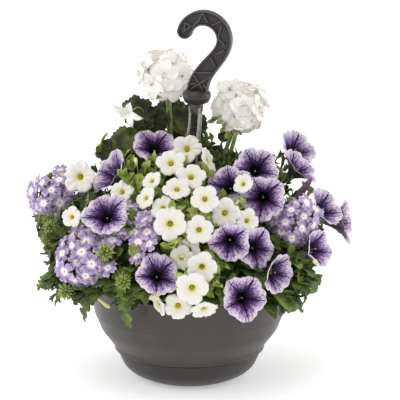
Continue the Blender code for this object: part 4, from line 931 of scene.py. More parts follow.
LEAF_FINISHES = {
    "verbena": leaf_finish("verbena_leaf_green", "#35431f", "#50602c", "#74843f", 5, 0.55),
    "petunia": leaf_finish("petunia_leaf_green", "#344521", "#4f622e", "#7a8c46", 8, 0.45),
    "calibrachoa": leaf_finish("calibrachoa_leaf_green", "#4a5a26", "#6f8038", "#9dac55", 6, 0.45),
    "young": leaf_finish("calibrachoa_young_leaf_green", "#6f8034", "#9aab4c", "#c4cf70", 6, 0.45),
    "geranium": leaf_finish("geranium_leaf_green", "#23290f", "#343b1a", "#59622f", 9, 0.6, rounds=True),
}
print("leaf finishes:", len(LEAF_FINISHES))

# %% [markdown]
# Stems, buds and anthers are soft and matt, and mottled rather than veined. What shows between the
# leaves is deep foliage in the shade of the leaves above it, so that finish is a dark green with
# hollows that are almost black.

# %% Stems, buds and deep foliage
def stem_finish(name, dark, light):
    """A green stem, mottled along its length."""
    finish, tree, surface = new_finish(name, 0.5)
    spots = add(tree, "TexNoise", {"Vector": add(tree, "TexCoord")["Object"], "Scale": MM / 6, "Detail": 3.0})
    shade = add(tree, "ValToRGB", {"Fac": spots["Fac"]}, stops=((0.35, dark), (0.65, light)))
    connect(tree, surface, shade["Color"], spots["Fac"], 0.2, 0.0002)
    return finish


STEM_FINISHES = {kind: stem_finish(kind + "_stem_green", *codes) for kind, *codes in (
    ("verbena", "#4d5c30", "#6f7f48"), ("petunia", "#4f5f34", "#78884c"),
    ("calibrachoa", "#6d7c3a", "#9aa85c"), ("geranium", "#6c7c3a", "#92a355"))}
bud_green = stem_finish("flower_bud_green", "#6f7f36", "#a3b25e")
bud_cream = stem_finish("calibrachoa_bud_cream", "#b3ae66", "#dcd8ac")
stigma_grey = stem_finish("petunia_stigma_grey_green", "#5f695f", "#8d978e")
throat_yellow = stem_finish("calibrachoa_anther_yellow", "#938a2e", "#c2b54a")
anther_tan = stem_finish("geranium_anther_tan", "#b98a5c", "#dcb68a")
bud_purple = stem_finish("petunia_bud_purple_brown", "#4b3442", "#6d5060")
heart_green, tree, surface = new_finish("deep_foliage_shadow_green", 0.8)
patches = add(tree, "TexVoronoi", {"Vector": add(tree, "TexCoord")["Object"], "Scale": MM / 9})
shade = add(tree, "ValToRGB", {"Fac": patches["Distance"]}, stops=((0.1, "#33401f"), (0.6, "#131a0c")))
connect(tree, surface, shade["Color"], patches["Distance"], 0.8, 0.004)
print("stem, bud and anther finishes:", len(STEM_FINISHES) + 6)

# %% [markdown]
# Compost is peat and bark in moist, matt crumbs of about 3 mm. It stays as the construction model has
# it, because the pot and the plants hide its edges, and only its finish is new.

# %% Compost
peat, tree, surface = new_finish("peat_compost_crumbly", 0.95)
ground = add(tree, "TexCoord")["Object"]
crumbs = add(tree, "TexVoronoi", {"Vector": ground, "Scale": MM / 3})
lumps = add(tree, "TexNoise", {"Vector": ground, "Scale": MM / 8, "Detail": 6.0})
mixed = add(tree, "Math", {0: crumbs["Distance"], 1: lumps["Fac"]}, operation="MULTIPLY")
shade = add(tree, "ValToRGB", {"Fac": mixed[0]}, stops=((0.05, "#1c130d"), (0.3, "#3a2c22"), (0.5, "#5a483a")))
connect(tree, surface, shade["Color"], mixed[0], 0.9, 0.003)
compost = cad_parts["compost"]
compost.data.materials.clear()
compost.data.materials.append(peat)

# %% [markdown]
# A trumpet-shaped bloom is one sheet wrapped round its axis. Its profile runs from the narrow foot of the
# tube, out through the throat, to the edge of the face. Five lobes shorten the edge in shallow notches,
# ruffles lift it, and a crease runs down the middle of each lobe where the main vein is.

# %% Trumpet blooms
PETUNIA_PROFILE = ((0.055, -1.0), (0.11, -0.78), (0.155, -0.56), (0.2, -0.38), (0.26, -0.23), (0.345, -0.11),
                   (0.46, -0.025), (0.62, 0.035), (0.79, 0.075), (0.92, 0.09), (1.0, 0.06))
FUNNEL_PROFILE = ((0.06, -1.0), (0.15, -0.8), (0.26, -0.61), (0.39, -0.43), (0.53, -0.27), (0.68, -0.13),
                  (0.82, -0.03), (0.93, 0.03), (1.0, 0.05))
CALIBRACHOA_PROFILE = ((0.05, -0.96), (0.08, -0.7), (0.105, -0.42), (0.135, -0.22), (0.185, -0.08), (0.27, 0.0),
                       (0.45, 0.05), (0.7, 0.09), (0.9, 0.1), (1.0, 0.06))


def lobed(turn, notch):
    """How far a five-lobed edge reaches at each share of a turn."""
    phase = (turn * LOBES) % 1
    return 1 - notch * (1 - np.abs(np.sin(np.pi * phase))) ** 2.2


def trumpet_sheet(draw, radius, profile, notch, ruffle, crease_depth, rows, columns):
    """The rows of a trumpet bloom, and each row's share of the radius."""
    known = np.array(profile)
    run = np.concatenate([[0], np.cumsum(np.hypot(*np.diff(known, axis=0).T))])
    steps = np.linspace(0, run[-1], rows)
    out, up = np.interp(steps, run, known[:, 0]), np.interp(steps, run, known[:, 1])
    turn = np.arange(columns) / columns
    face = np.clip((out - 0.25) / 0.75, 0, 1)[:, None]
    phase = (turn * LOBES) % 1
    point = 0.035 * np.exp(-((phase - 0.5) / 0.1) ** 2)
    reach = out[:, None] * (1 - face * (1 - lobed(turn, notch) - point)[None, :])
    waves = sum(np.sin(2 * np.pi * (turn * n + draw.random())) * size
                for n, size in ((2, 0.5), (6, 0.6), (11, 0.4)))
    reach = reach * (1 + face * ruffle * 0.8 * np.sin(2 * np.pi * (turn * 3 + draw.random()))[None, :])
    reach = reach * (1 + face ** 3 * ruffle * 0.35 * np.sin(2 * np.pi * (turn * 17 + draw.random()))[None, :])
    crease = np.exp(-((phase - 0.5) / 0.08) ** 2)
    ridge = np.exp(-(np.minimum(phase, 1 - phase) / 0.1) ** 2)
    up = up[:, None] + ruffle * face ** 1.6 * waves[None, :]
    up = up - crease_depth * face ** 0.5 * (1 - face * 0.6) * crease[None, :]
    up = up - crease_depth * 0.8 * face * ridge[None, :]
    angle = -2 * np.pi * turn[None, :] + 0 * up
    return np.stack([reach * np.cos(angle), reach * np.sin(angle), up], 2) * radius, out


def sepals(skin, radius, length, place, draw):
    """Narrow green sepals, one for each lobe, that clasp the foot of a tube."""
    for k in range(LOBES):
        turn = 2 * pi * (k + draw.uniform(-0.1, 0.1)) / LOBES
        share = np.array([0, 0.35, 0.7, 1])[:, None]
        half = np.array([0.55, 1.0, 0.8, 0.05])[:, None] * length * 0.13 * np.array([-1, 0, 1])[None, :]
        out = radius * (0.06 + 0.1 * share) + length * 0.12 * share ** 2 + 0 * half
        up = -radius * 1.0 + length * share + 0 * half
        points = np.stack([out * cos(turn) - half * sin(turn),
                           out * sin(turn) + half * cos(turn), up], 2)
        skin.sheet(points, 2, place=place)


print("trumpet maker ready")

# %% [markdown]
# Petunias: each of the blooms in the plan gets its own ruffles from a seeded draw. The throat of the
# facetted bloom tells where the bloom really stands. A bloom seen from the side shows its funnel, so
# those have a longer one. Some are a little larger than in the construction model, as ruffles are wide.

# %% Petunia blooms
PETAL_THICKNESS = 0.0004
# Radii of stems
FLOWER_STEM, SPRAY_STEM, GERANIUM_STEM = 0.0016, 0.0014, 0.0022
FUNNELS = [f"petunia_{i}" for i in (2, 11, 12, 13, 14, 15, 16)]
GROWTHS = {**dict.fromkeys(FUNNELS, 1.1), "petunia_6": 1.12, "petunia_1": 1.05, "petunia_2": 1.2, "petunia_3": 1.06}
# How far behind its face a bloom's tube ends, and where its throat's corner is
PETUNIA_DEPTH = 0.5
THROAT = 0.34
bloom_places, seats = [], []
for name, (where, turn, tilt, diameter) in PETUNIAS.items():
    draw = Random(name)
    direction = facing(turn, tilt)
    throat, line = place_of(where)
    throat = throat + move_of(name, line, [throat - direction * diameter * PETUNIA_DEPTH * THROAT])
    place = pose(throat, direction, draw.uniform(0, 0.4))
    skin = Skin()
    profile = FUNNEL_PROFILE if name in FUNNELS else PETUNIA_PROFILE
    size = diameter * GROWTHS.get(name, 1)
    rows, shares = trumpet_sheet(draw, size / 2, profile, notch=0.11, ruffle=0.06, crease_depth=0.06,
                                 rows=19, columns=75)
    skin.sheet(rows, 0, wrap=True, place=place, along=shares)
    sepals(skin, diameter / 2, diameter * 0.22, place, draw)
    skin.stem([place @ Vector((0, 0, diameter * height)) for height in (-0.3, -0.17, -0.135, -0.12)],
              [0.0005, 0.0006, 0.0013, 0.0007], sides=8, finish=4)
    finishes = [petunia_face, petunia_back, bud_green, bud_green, stigma_grey, stigma_grey]
    skin.piece(name + "_bloom", name, "petunia_petal", finishes, PETAL_THICKNESS)
    bloom_places.append((throat, direction, diameter / 2))
    seats.append((name, throat - direction * diameter * PETUNIA_DEPTH, direction, FLOWER_STEM))
print("petunia blooms:", len(bloom_places))

# %% [markdown]
# Calibrachoas look like small petunias with flatter, rounder faces, so the same trumpet maker serves
# with another profile. Each spray has two or three blooms whose green stalks run down to one fork, and
# they are gathered in one piece because they stand for one node.

# %% Calibrachoa sprays
TRUMPET_DEPTH = 0.48
ANTHER_TURN = 1.2566
spray_seats = []
for name, blooms in SPRAYS.items():
    draw = Random(name)
    blooms = [(place_of(where)[0], facing(turn, tilt), size) for where, turn, tilt, size in blooms]
    feet, marks = ([throat - direction * size * TRUMPET_DEPTH * share for throat, direction, size in blooms]
                   for share in (1, 0.3))
    fork = sum(feet, Vector()) / len(feet)
    inward = (CANOPY_MIDDLE - fork).normalized()
    move = move_of(name, place_of(SPRAYS[name][0][0])[1], marks)
    fork = fork + inward * 0.008 + move
    back = fork + inward * 0.006
    petals, stalks, anthers = Skin(), Skin(), Skin()
    stalks.stem([fork, back], 0.0019)
    for throat, direction, size in blooms:
        throat = throat + move
        place = pose(throat, direction, draw.uniform(0, 1.2))
        rows, shares = trumpet_sheet(draw, size / 2, CALIBRACHOA_PROFILE, notch=0.17, ruffle=0.05,
                                     crease_depth=0.1, rows=14, columns=60)
        petals.sheet(rows, 0, wrap=True, place=place, along=shares)
        for k in range(LOBES):
            way = Vector((cos(k * ANTHER_TURN), sin(k * ANTHER_TURN), 0)) * size * 0.035
            anthers.stem([place @ Vector((0, 0, -size * 0.2)), place @ (way + Vector((0, 0, -size * 0.085))),
                          place @ (way * 0.9 + Vector((0, 0, -size * 0.055)))], size * 0.022, sides=6)
        sepals(petals, size / 2, size * 0.26, place, draw)
        foot = throat - direction * size * TRUMPET_DEPTH * 0.9
        stalks.stem([foot, (foot + back) / 2 - direction * 0.004, (fork + back) / 2], 0.001)
        bloom_places.append((throat, direction, size / 2))
    finishes = [calibrachoa_face, calibrachoa_back, bud_green, bud_green]
    petals.piece(name + "_blooms", name, "calibrachoa_petal", finishes, PETAL_THICKNESS)
    stalks.piece(name + "_stalks", name, "calibrachoa_petal", [STEM_FINISHES["calibrachoa"]])
    anthers.piece(name + "_anthers", name, "calibrachoa_petal", [throat_yellow])
    spray_seats.append((name, back, -inward, SPRAY_STEM))
print("calibrachoa sprays:", len(spray_seats))

# %% [markdown]
# A verbena head is a dome of florets on a green middle. Each floret is a flat disc cut into five
# petals with notched ends. The construction model has a few large florets. Here many small ones are
# spread over the same dome by the golden angle, which never lines them up in rows.

# %% Florets and heads
GOLDEN = pi * (3 - sqrt(5))
HEAD_STALK = 1.15
# How far round its ball a head's florets reach, in degrees, and how flat the ball is
VERBENA_HEAD, GERANIUM_HEAD = (100, 0.78), (118, 0.88)


def cap_directions(count, reach):
    """Directions spread evenly over the cap of a ball round +Z, by the golden angle."""
    floor = cos(radians(reach))
    for i in range(count):
        height = 1 - (i + 0.5) / count * (1 - floor)
        side = sqrt(max(0, 1 - height ** 2))
        yield Vector((side * cos(GOLDEN * i), side * sin(GOLDEN * i), height))


def verbena_floret(radius, draw):
    """A flat floret of five notched petals round a small eye."""
    out = np.array([0.0, 0.13, 0.22, 0.5, 0.78, 1.0])
    turn = np.arange(40) / 40
    phase = (turn * LOBES) % 1
    gap = 1 - 0.62 * (1 - np.abs(np.sin(np.pi * phase)) ** 0.45)
    tip = 1 - 0.22 * np.exp(-((phase - 0.5) / 0.09) ** 2)
    face = np.clip((out - 0.13) / 0.87, 0, 1)[:, None]
    reach = out[:, None] * (1 - face * (1 - (gap * tip)[None, :]))
    petal = (turn * LOBES).astype(int)
    lift = np.array([draw.uniform(-0.16, 0.22) for _ in range(LOBES)])[petal]
    wave = np.cos(2 * np.pi * phase)[None, :]
    up = 0.06 * out[:, None] + face * lift[None, :] - 0.1 * face ** 3 + 0.05 * face * wave
    angle = -2 * np.pi * turn[None, :] + 0 * up
    return np.stack([reach * np.cos(angle), reach * np.sin(angle), up], 2) * radius, out


def head_marks(head, middle, direction, radius, count):
    """The middles of the facetted head's florets."""
    reach, squash = head
    place = pose(middle, direction)
    return [place @ Vector((way.x * radius, way.y * radius, way.z * radius * squash))
            for way in cap_directions(count, reach)]


def shake(draw, reach):
    """A small random vector."""
    return Vector([draw.uniform(-reach, reach) for _ in range(3)])


def green_core(skin, middle, direction, radius, squash):
    """The green middle of a head, an uneven ball, with its stalk."""
    bands = np.linspace(0, np.pi, 9)[:, None]
    turn = (np.arange(14) / -14 * 2 * np.pi)[None, :]
    rows = np.stack([np.sin(bands) * np.cos(turn), np.sin(bands) * np.sin(turn),
                     np.cos(bands) * squash + 0 * turn], 2)
    skin.sheet(rows * radius, wrap=True, place=pose(middle, direction))
    skin.stem([middle, middle - direction * radius * 1.4], FLOWER_STEM)


print("florets turn by", round(degrees(GOLDEN), 1), "degrees from one to the next")

# %% [markdown]
# A verbena head is never quite even. Each floret stands a little higher or lower than the dome and
# leans its own way, and here and there is a tuft of green buds instead of one.

# %% Verbena heads
# Florets on a head of the given radius, and which of them are tufts of buds
VERBENA_FLORETS, FULL_VERBENA, TUFT_EVERY, TUFT_FIRST = 26, 0.037, 15, 6
VERBENA_CAP = 108
VERBENA_FLORET = 0.015
squash = VERBENA_HEAD[1]
for name, (where, turn, tilt, radius, count) in VERBENAS.items():
    draw = Random(name)
    direction = facing(turn, tilt)
    middle, line = place_of(where, -0.12)
    if len(where) == 2:
        middle = middle - facing(turn, 0) * 0.02
    middle = middle + move_of(name, line, head_marks(VERBENA_HEAD, middle, direction, radius, count))
    petals, greens = Skin(), Skin()
    green_core(greens, middle, direction, radius * 0.62, squash)
    place = pose(middle, direction)
    florets = round(VERBENA_FLORETS * (radius / FULL_VERBENA) ** 2)
    for i, way in enumerate(cap_directions(florets, VERBENA_CAP)):
        seat = Vector((way.x, way.y, way.z * squash)) * radius * draw.uniform(0.7, 1.14)
        lean = (way + Vector((0, 0, 0.6)) + shake(draw, 0.6)).normalized()
        own = place @ pose(seat, lean, draw.uniform(0, 6))
        if i % TUFT_EVERY == TUFT_FIRST:
            for _ in range(5):
                foot = place @ (seat * 0.8)
                tip = place @ (seat * 1.02 + shake(draw, 0.003))
                greens.stem([foot, foot.lerp(tip, 0.6), tip], [0.0007, 0.0016, 0.001])
            continue
        rows, shares = verbena_floret(VERBENA_FLORET * draw.uniform(0.8, 1.12), draw)
        petals.sheet(rows, 0, wrap=True, place=own, along=shares)
        greens.stem([place @ (seat * 0.5), own @ Vector((0, 0, -0.0008))], [0.0008, 0.0006], sides=5)
    petals.piece(name + "_florets", name, "verbena_petal", [verbena_petal] * 2, PETAL_THICKNESS)
    greens.piece(name + "_middle", name, "verbena_petal", [STEM_FINISHES["verbena"]])
    bloom_places.append((middle, direction, radius))
    seats.append((name, middle - direction * radius * HEAD_STALK, direction, FLOWER_STEM))
print("verbena heads:", len(VERBENAS))

# %% [markdown]
# A geranium head is a ball of loose, cupped, five-petalled florets, each with a few tan anthers, on
# green stalks from one point. A few unopened buds hang below it. Petals are made one at a time, each
# with its own length, cup and twist, since no two of them lie alike.

# %% Geranium heads
def geranium_petal_rows(length, width, cup, draw):
    """One broad petal that starts narrow, rises from the middle and rolls back at its end."""
    share = np.linspace(0, 1, 8)[:, None]
    across = np.linspace(-1, 1, 7)[None, :]
    outline = np.sin(np.pi * np.clip(share, 0.03, 0.985) ** 0.8) ** 0.55
    half = width / 2 * outline * across
    edge = length * share * (1 - 0.06 * across ** 2 * share)
    twist = draw.uniform(-0.15, 0.15)
    up = length * (cup * share - 0.3 * share ** 3) + 0.1 * length * share * across ** 2 + twist * half * share
    up = up + 0.04 * length * share * np.sin(7 * across + draw.uniform(0, 6))
    return np.stack([edge + 0 * half, half + 0 * edge, up], 2)


# Buds that hang under a head: pixel of the tip, depth and length
GERANIUM_BUDS = {
    "geranium_1": [((149, 95), 0.02, 0.012), ((155, 99), 0.02, 0.011), ((159, 98), 0.02, 0.013),
                   ((163, 96), 0.02, 0.012), ((152, 92), 0.02, 0.01), ((160, 93), 0.01, 0.009)],
    "geranium_2": [((207, 122), 0.03, 0.014), ((211, 118), 0.03, 0.012), ((216, 123), 0.02, 0.013),
                   ((220, 132), 0.02, 0.013), ((225, 139), 0.02, 0.015), ((229, 137), 0.02, 0.013),
                   ((234, 136), 0.02, 0.014), ((222, 126), 0.02, 0.011), ((218, 116), 0.02, 0.01)],
}
# Florets on a head of the given radius
GERANIUM_FLORETS, FULL_GERANIUM = 18, 0.033
GERANIUM_CAP = 125
GERANIUM_PETAL_LENGTH, GERANIUM_PETAL_WIDTH = 0.0228, 0.02
SMALL_BUDS = 9
squash = GERANIUM_HEAD[1]
for name, (pixel, depth, turn, tilt, radius, count) in GERANIUMS.items():
    draw = Random(name)
    direction, middle = facing(turn, tilt), at_depth(pixel, depth)
    middle = middle + move_of(name, sight_line(pixel), head_marks(GERANIUM_HEAD, middle, direction, radius, count))
    petals, greens, anthers = Skin(), Skin(), Skin()
    place = pose(middle, direction)
    base = middle - direction * radius * 0.5
    florets = round(GERANIUM_FLORETS * (radius / FULL_GERANIUM) ** 2)
    for i, way in enumerate(cap_directions(florets, GERANIUM_CAP)):
        seat = Vector((way.x, way.y, way.z * squash)) * radius * draw.uniform(0.66, 0.98)
        lean = (way + shake(draw, 0.18)).normalized()
        own = place @ pose(seat, lean, draw.uniform(0, 6))
        for k in range(LOBES):
            spin = Matrix.Rotation(2 * pi * (k + draw.uniform(-0.08, 0.08)) / LOBES, 4, "Z")
            rows = geranium_petal_rows(GERANIUM_PETAL_LENGTH * draw.uniform(0.85, 1.15),
                                       GERANIUM_PETAL_WIDTH * draw.uniform(0.85, 1.15),
                                       draw.uniform(0.05, 0.45), draw)
            petals.sheet(rows, 0, place=own @ spin)
        for _ in range(5 if i % 2 else 2):
            tip = Vector([draw.uniform(*span) for span in ((-0.002, 0.002), (-0.002, 0.002), (0.004, 0.006))])
            anthers.stem([own @ Vector(), own @ (tip * 0.8), own @ tip], [0.0003, 0.0003, 0.0007], sides=5)
        foot = own @ Vector()
        greens.stem([base, base.lerp(foot, 0.55) + direction * 0.003, foot], 0.0009, sides=5)
    for _ in range(SMALL_BUDS):
        way = facing(draw.uniform(0, 360), draw.uniform(-75, -25))
        tip = base + way * radius * draw.uniform(0.55, 0.85)
        greens.stem([base, base.lerp(tip, 0.6), tip - way * 0.007, tip - way * 0.003, tip],
                    [0.0008, 0.0008, 0.0018, 0.0024, 0.0008])
    for spot, bud_depth, size in GERANIUM_BUDS.get(name, ()):
        tip = at_depth(spot, bud_depth)
        ahead = (tip - base).normalized()
        greens.stem(smooth_path([base, base.lerp(tip, 0.5) + Vector((0, 0, 0.003)), tip - ahead * size], 6), 0.0009)
        greens.stem([tip - ahead * size, tip - ahead * size * 0.75, tip - ahead * size * 0.4, tip],
                    [0.0008, size * 0.2, size * 0.24, 0.0004], sides=8)
    greens.stem([base, middle - direction * radius * 1.35], 0.003)
    petals.piece(name + "_petals", name, "geranium_petal", [geranium_petal] * 2, PETAL_THICKNESS)
    greens.piece(name + "_stalks", name, "geranium_petal", [bud_green])
    anthers.piece(name + "_anthers", name, "geranium_petal", [anther_tan])
    bloom_places.append((middle, direction, radius))
    seats.append((name, middle - direction * radius * HEAD_STALK, direction, GERANIUM_STEM))
print("geranium heads:", len(GERANIUMS))

# %% [markdown]
# Inside each plant is a dense leafy heart, which fills its wedge of the pot. It is rebuilt with the
# construction model's own rule, because the roots of its stems and leaves were found on its surface.
# The shown heart is a little smaller, roughened and in deep shade, since leaves cover it.

# %% Hearts of the plants
HEART_LEVELS = ((0.116, 0.116, 0.1236), (0.119, 0.119, 0.137), (0.144, 0.122, 0.155), (0.13, 0.108, 0.188),
                (0.08, 0.064, 0.216))
HEART_TOP = 0.226
HEART_STEPS = 18
HEART_RELIEF = 0.012
CROWN_RADIUS = 0.0032
CROWN_DEPTH = 0.012
CROWN_REACH = 0.066
HEART_CORE_HEIGHT = 0.16
# The shown heart is drawn in above a height, towards a point of its core, by so much
ROUGH_FROM, ROUGH_CORE, ROUGHNESS = 0.13, 0.15, (0.002, 0.012)
ROOT_SINK = 0.009


def heart_skin(name):
    """A plant's heart: its share of a mound, cut off where its neighbours and wires are."""
    first, last, first_wire, last_wire = PLANTS[name][1:]
    skin = bmesh.new()
    rows = []
    for level, (across, deep, height) in enumerate(HEART_LEVELS):
        row = []
        for i in range(HEART_STEPS):
            angle = 2 * pi * i / HEART_STEPS
            relief = HEART_RELIEF * (-1) ** (i + level) if level > 1 else 0
            row.append(skin.verts.new(((across + relief) * sin(angle),
                                       -(deep + relief) * cos(angle), height)))
        rows.append(row)
    top = skin.verts.new((0, 0, HEART_TOP))
    for level, (low, high) in enumerate(zip(rows, rows[1:])):
        for i in range(HEART_STEPS):
            j = (i + 1) % HEART_STEPS
            odd = (i + level) % 2
            skin.faces.new((low[i], low[j], high[i] if odd else high[j]))
            skin.faces.new((low[j] if odd else low[i], high[j], high[i]))
    for i in range(HEART_STEPS):
        skin.faces.new((rows[-1][i], rows[-1][(i + 1) % HEART_STEPS], top))
    skin.faces.new(rows[0])
    bmesh.ops.recalc_face_normals(skin, faces=skin.faces)
    for azimuth, wire, way in ((first, first_wire, 1), (last, last_wire, -1)):
        outward = around(azimuth - 90 * way, 1, 0)
        room = WIRE_RADIUS + 0.0015 if wire else GAP
        bmesh.ops.bisect_plane(skin, geom=skin.verts[:] + skin.edges[:] + skin.faces[:], dist=0.000001,
                               plane_co=outward * -room, plane_no=outward, clear_outer=True)
        bmesh.ops.holes_fill(skin, edges=[edge for edge in skin.edges if edge.is_boundary])
    bmesh.ops.recalc_face_normals(skin, faces=skin.faces)
    return skin


def core_of(name, height):
    """A point of the line up the middle of a plant."""
    return around(sum(PLANTS[name][1:3]) / 2, CROWN_REACH, height)


def crown_foot(name):
    """Where a plant's crown stands on the compost."""
    return core_of(name, SOIL_TOP - CROWN_DEPTH)


def sunk(point, name):
    """A point of a heart's skin, moved in towards the middle of that heart, for a root."""
    return point + (core_of(name, HEART_CORE_HEIGHT) - point).normalized() * ROOT_SINK


def rooted(name, point):
    """Where the root is, in a plant's heart, of what grows towards a point."""
    return sunk(hearts[name].find_nearest(point)[0], name)


def nearest_plant(point):
    """The plant whose heart is nearest to a point."""
    return min(PLANTS, key=lambda name: hearts[name].find_nearest(point)[3])


hearts = {}
for name in PLANTS:
    skin = heart_skin(name)
    hearts[name] = BVHTree.FromBMesh(skin)
    core = core_of(name, ROUGH_CORE)
    bmesh.ops.triangulate(skin, faces=skin.faces)
    bmesh.ops.subdivide_edges(skin, edges=skin.edges, cuts=2, use_grid_fill=True)
    draw = Random(name + " heart")
    for vertex in skin.verts:
        if vertex.co.z > ROUGH_FROM:
            vertex.co += (core - vertex.co).normalized() * draw.uniform(*ROUGHNESS)
    heart = show(name + "_heart", mesh_of(name + "_heart", skin))
    heart.data.materials.append(heart_green)
    settle(heart, name)
corners = {name: corners_of(name) for name in PLANTS}
print("hearts:", len(hearts))

# %% [markdown]
# A leaf blade is a sheet along its midrib, with an outline for its half width, a fold along the middle
# and a little waviness. Verbena's teeth come from rows whose edge alternates between long and short,
# with the long ones swept towards the tip. A geranium's round leaf is a sheet round its stalk, with a
# scalloped and gently waved edge and a narrow gap where the stalk joins.

# %% Leaf blades
OUTLINES = {
    "frond": ((0, 0.08), (0.1, 0.14), (0.22, 0.46), (0.42, 0.72), (0.66, 0.72), (0.86, 0.56), (0.96, 0.4),
              (1, 0.1)),
    "lobed": ((0, 0.1), (0.08, 0.2), (0.22, 0.62), (0.45, 1.0), (0.66, 0.98), (0.85, 0.72), (0.95, 0.4),
              (1, 0.05)),
    "oval": ((0, 0.06), (0.08, 0.26), (0.22, 0.76), (0.42, 1.0), (0.62, 1.0), (0.8, 0.84), (0.94, 0.5), (1, 0.06)),
    "small": ((0, 0.1), (0.12, 0.35), (0.3, 0.82), (0.5, 1.0), (0.7, 0.84), (0.87, 0.45), (1, 0.02)),
}
LEAF_ROWS = {"frond": 27, "lobed": 19, "oval": 9, "small": 7}
LEAF_COLUMNS = {"frond": 5}
LEAF_LOBES = {"frond": 6.5, "lobed": 4.5}
BLADE_THICKNESS = 0.0005
ROUND_LEAF_TILT = 42


def leaf_sheet(foot, tip, width, kind, sag, draw):
    """The rows of one leaf blade from foot to tip."""
    along = tip - foot
    length = along.length
    steep = abs(along.z) / length
    outward = Vector((foot.x, foot.y, 0)).normalized()
    side = along.cross(Vector((0, 0, 1)) * (1 - steep) + outward * steep)
    side = side.normalized() if side.length > 0.0001 else Vector((1, 0, 0))
    up = side.cross(along).normalized()
    count = LEAF_ROWS[kind]
    share = np.linspace(0, 1, count)[:, None]
    across = np.linspace(-1, 1, LEAF_COLUMNS.get(kind, 3))[None, :]
    known = np.array(OUTLINES[kind])
    outline = np.interp(share, known[:, 0], known[:, 1])
    ahead = share + 0 * across
    if kind in LEAF_LOBES:
        outline = outline * (0.38 + 0.62 * np.abs(np.sin(np.pi * LEAF_LOBES[kind] * share)) ** 0.5)
        ahead = ahead + np.abs(across) ** 2 * outline * 0.08 * (1 - share)
    half = width / 2 * outline * across
    bow = 4 * sag * length * share * (1 - share) + 0.16 * np.abs(half) * 2
    bow = bow + 0.05 * width * np.abs(across) * np.sin(9 * share + draw.uniform(0, 6) + across)
    return (np.array(foot) + ahead[..., None] * np.array(along) + half[..., None] * np.array(side)
            + bow[..., None] * np.array(up))


def round_sheet(middle, face, stalk_from, width, draw):
    """The rows of a round geranium leaf, which fan out from where its stalk joins it, near one edge."""
    place = pose(middle, face)
    toward = place.inverted() @ stalk_from
    gap_turn = atan2(toward.y, toward.x)
    turn = np.linspace(0, 1, 85)
    angle = gap_turn - 2 * np.pi * (0.02 + 0.96 * turn)
    edge = (0.93 + 0.07 * np.abs(np.sin(np.pi * turn * 21)) ** 0.6
            - 0.09 * np.abs(np.sin(np.pi * turn * 7 + 0.5)) ** 3)
    rim = np.stack([edge * np.cos(angle), edge * np.sin(angle)], 1)
    origin = np.array([cos(gap_turn), sin(gap_turn)]) * 0.42
    out = np.array([0.0, 0.25, 0.5, 0.75, 1.0])
    flat = origin[None, None, :] + (rim - origin)[None, :, :] * out[:, None, None]
    wave = (np.sin(2 * np.pi * (turn * 7 + draw.random())) + 0.7 * np.sin(2 * np.pi * (turn * 3 + draw.random()))
            + 0.3 * np.sin(2 * np.pi * (turn * 21 + draw.random())))
    up = 0.1 * out[:, None] ** 2 + 0.085 * out[:, None] ** 2 * wave[None, :]
    join = place @ Vector((*(origin * width / 2), 0))
    return np.concatenate([flat, up[..., None]], 2) * width / 2, place, out, join


def add_leaf(plant, foot, tip, width, kind, sag, turn, draw, tilt=ROUND_LEAF_TILT):
    """One leaf of a plant, with a stalk if it is a round one."""
    if kind != "round":
        blades[plant].sheet(leaf_sheet(foot, tip, width, kind, sag, draw))
        return
    along = (tip - foot).normalized()
    middle = tip - along * width * 0.45
    face = facing(turn, tilt)
    rows, place, out, join = round_sheet(middle, face, foot, width, draw)
    blades[plant].sheet(rows, place=place, along=out)
    behind = join - along * width * 0.05 - face * 0.004
    stems[plant].stem([foot, foot.lerp(behind, 0.5) + Vector((0, 0, -0.004)), behind, join], 0.0014)


blades, stems = ({name: Skin() for name in PLANTS} for _ in range(2))
print("leaf kinds:", len(OUTLINES) + 1)

# %% [markdown]
# Each stem was the first of many ways from a plant to its flower that crossed nothing. The way that was
# taken is the one whose bends lie a stem's radius from corners of the plant's node. The shown stem is a
# smooth curve through the same bends.

# %% Stems
STEM_DROPS = (0.03, 0.045, 0.02, 0.06, 0.01, 0.085)
STEM_LEADS = (0.012, 0.003)
STALK_GROWTHS = {"geranium_1": 1.7, "geranium_2": 1.35, "geranium_3": 1.35}
STEM_BOWS = ((0, 0, 0), (0, 0, 0.01), (0.01, 0, 0), (-0.01, 0, 0), (0, -0.01, 0), (0, 0.01, 0),
             (0, 0, -0.012), (0.02, 0, 0), (-0.02, 0, 0), (0, -0.02, 0), (0, 0, 0.022))


def bend(root, seat, direction, reach, bow):
    """A stem from its root to the back of a flower, arriving along the flower's own line."""
    run = (seat - root).length
    lead = seat - direction * min(reach, run * 0.4)
    return [root, (root + lead) / 2 + bow, lead, seat]


def skin_of(node):
    """A search tree over a node's faces."""
    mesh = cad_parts[node].data
    return BVHTree.FromPolygons([vertex.co for vertex in mesh.vertices], [face.vertices for face in mesh.polygons])


def stem_of(end, direction):
    """How far off the best candidate is, the plant it is on and its bends."""
    home = min(PLANTS, key=lambda name: corners[name].find(end)[2])
    best = None
    for drop, reach, bow in itertools.product(STEM_DROPS, STEM_LEADS, STEM_BOWS):
        points = bend(rooted(home, end - direction * drop), end, direction, reach, Vector(bow))
        marks = [points[0].lerp(points[1], 0.75), points[1], points[1].lerp(points[2], 0.5), points[2]]
        miss = max(skins[home].find_nearest(mark)[3] for mark in marks)
        if best is None or miss < best[0]:
            best = miss, home, points
    return best


skins = {name: skin_of(name) for name in PLANTS}
far, stem_paths = 0, []
for name, seat, direction, thickness in seats + spray_seats:
    miss, home, points = stem_of(seat - direction * GAP, direction)
    far += miss > thickness * 1.3
    path = smooth_path(points)
    stems[home].stem(path, thickness * STALK_GROWTHS.get(name, 1), sides=8)
    stem_paths.append((home, path))
print("stems:", len(stem_paths), "of which guessed:", far)

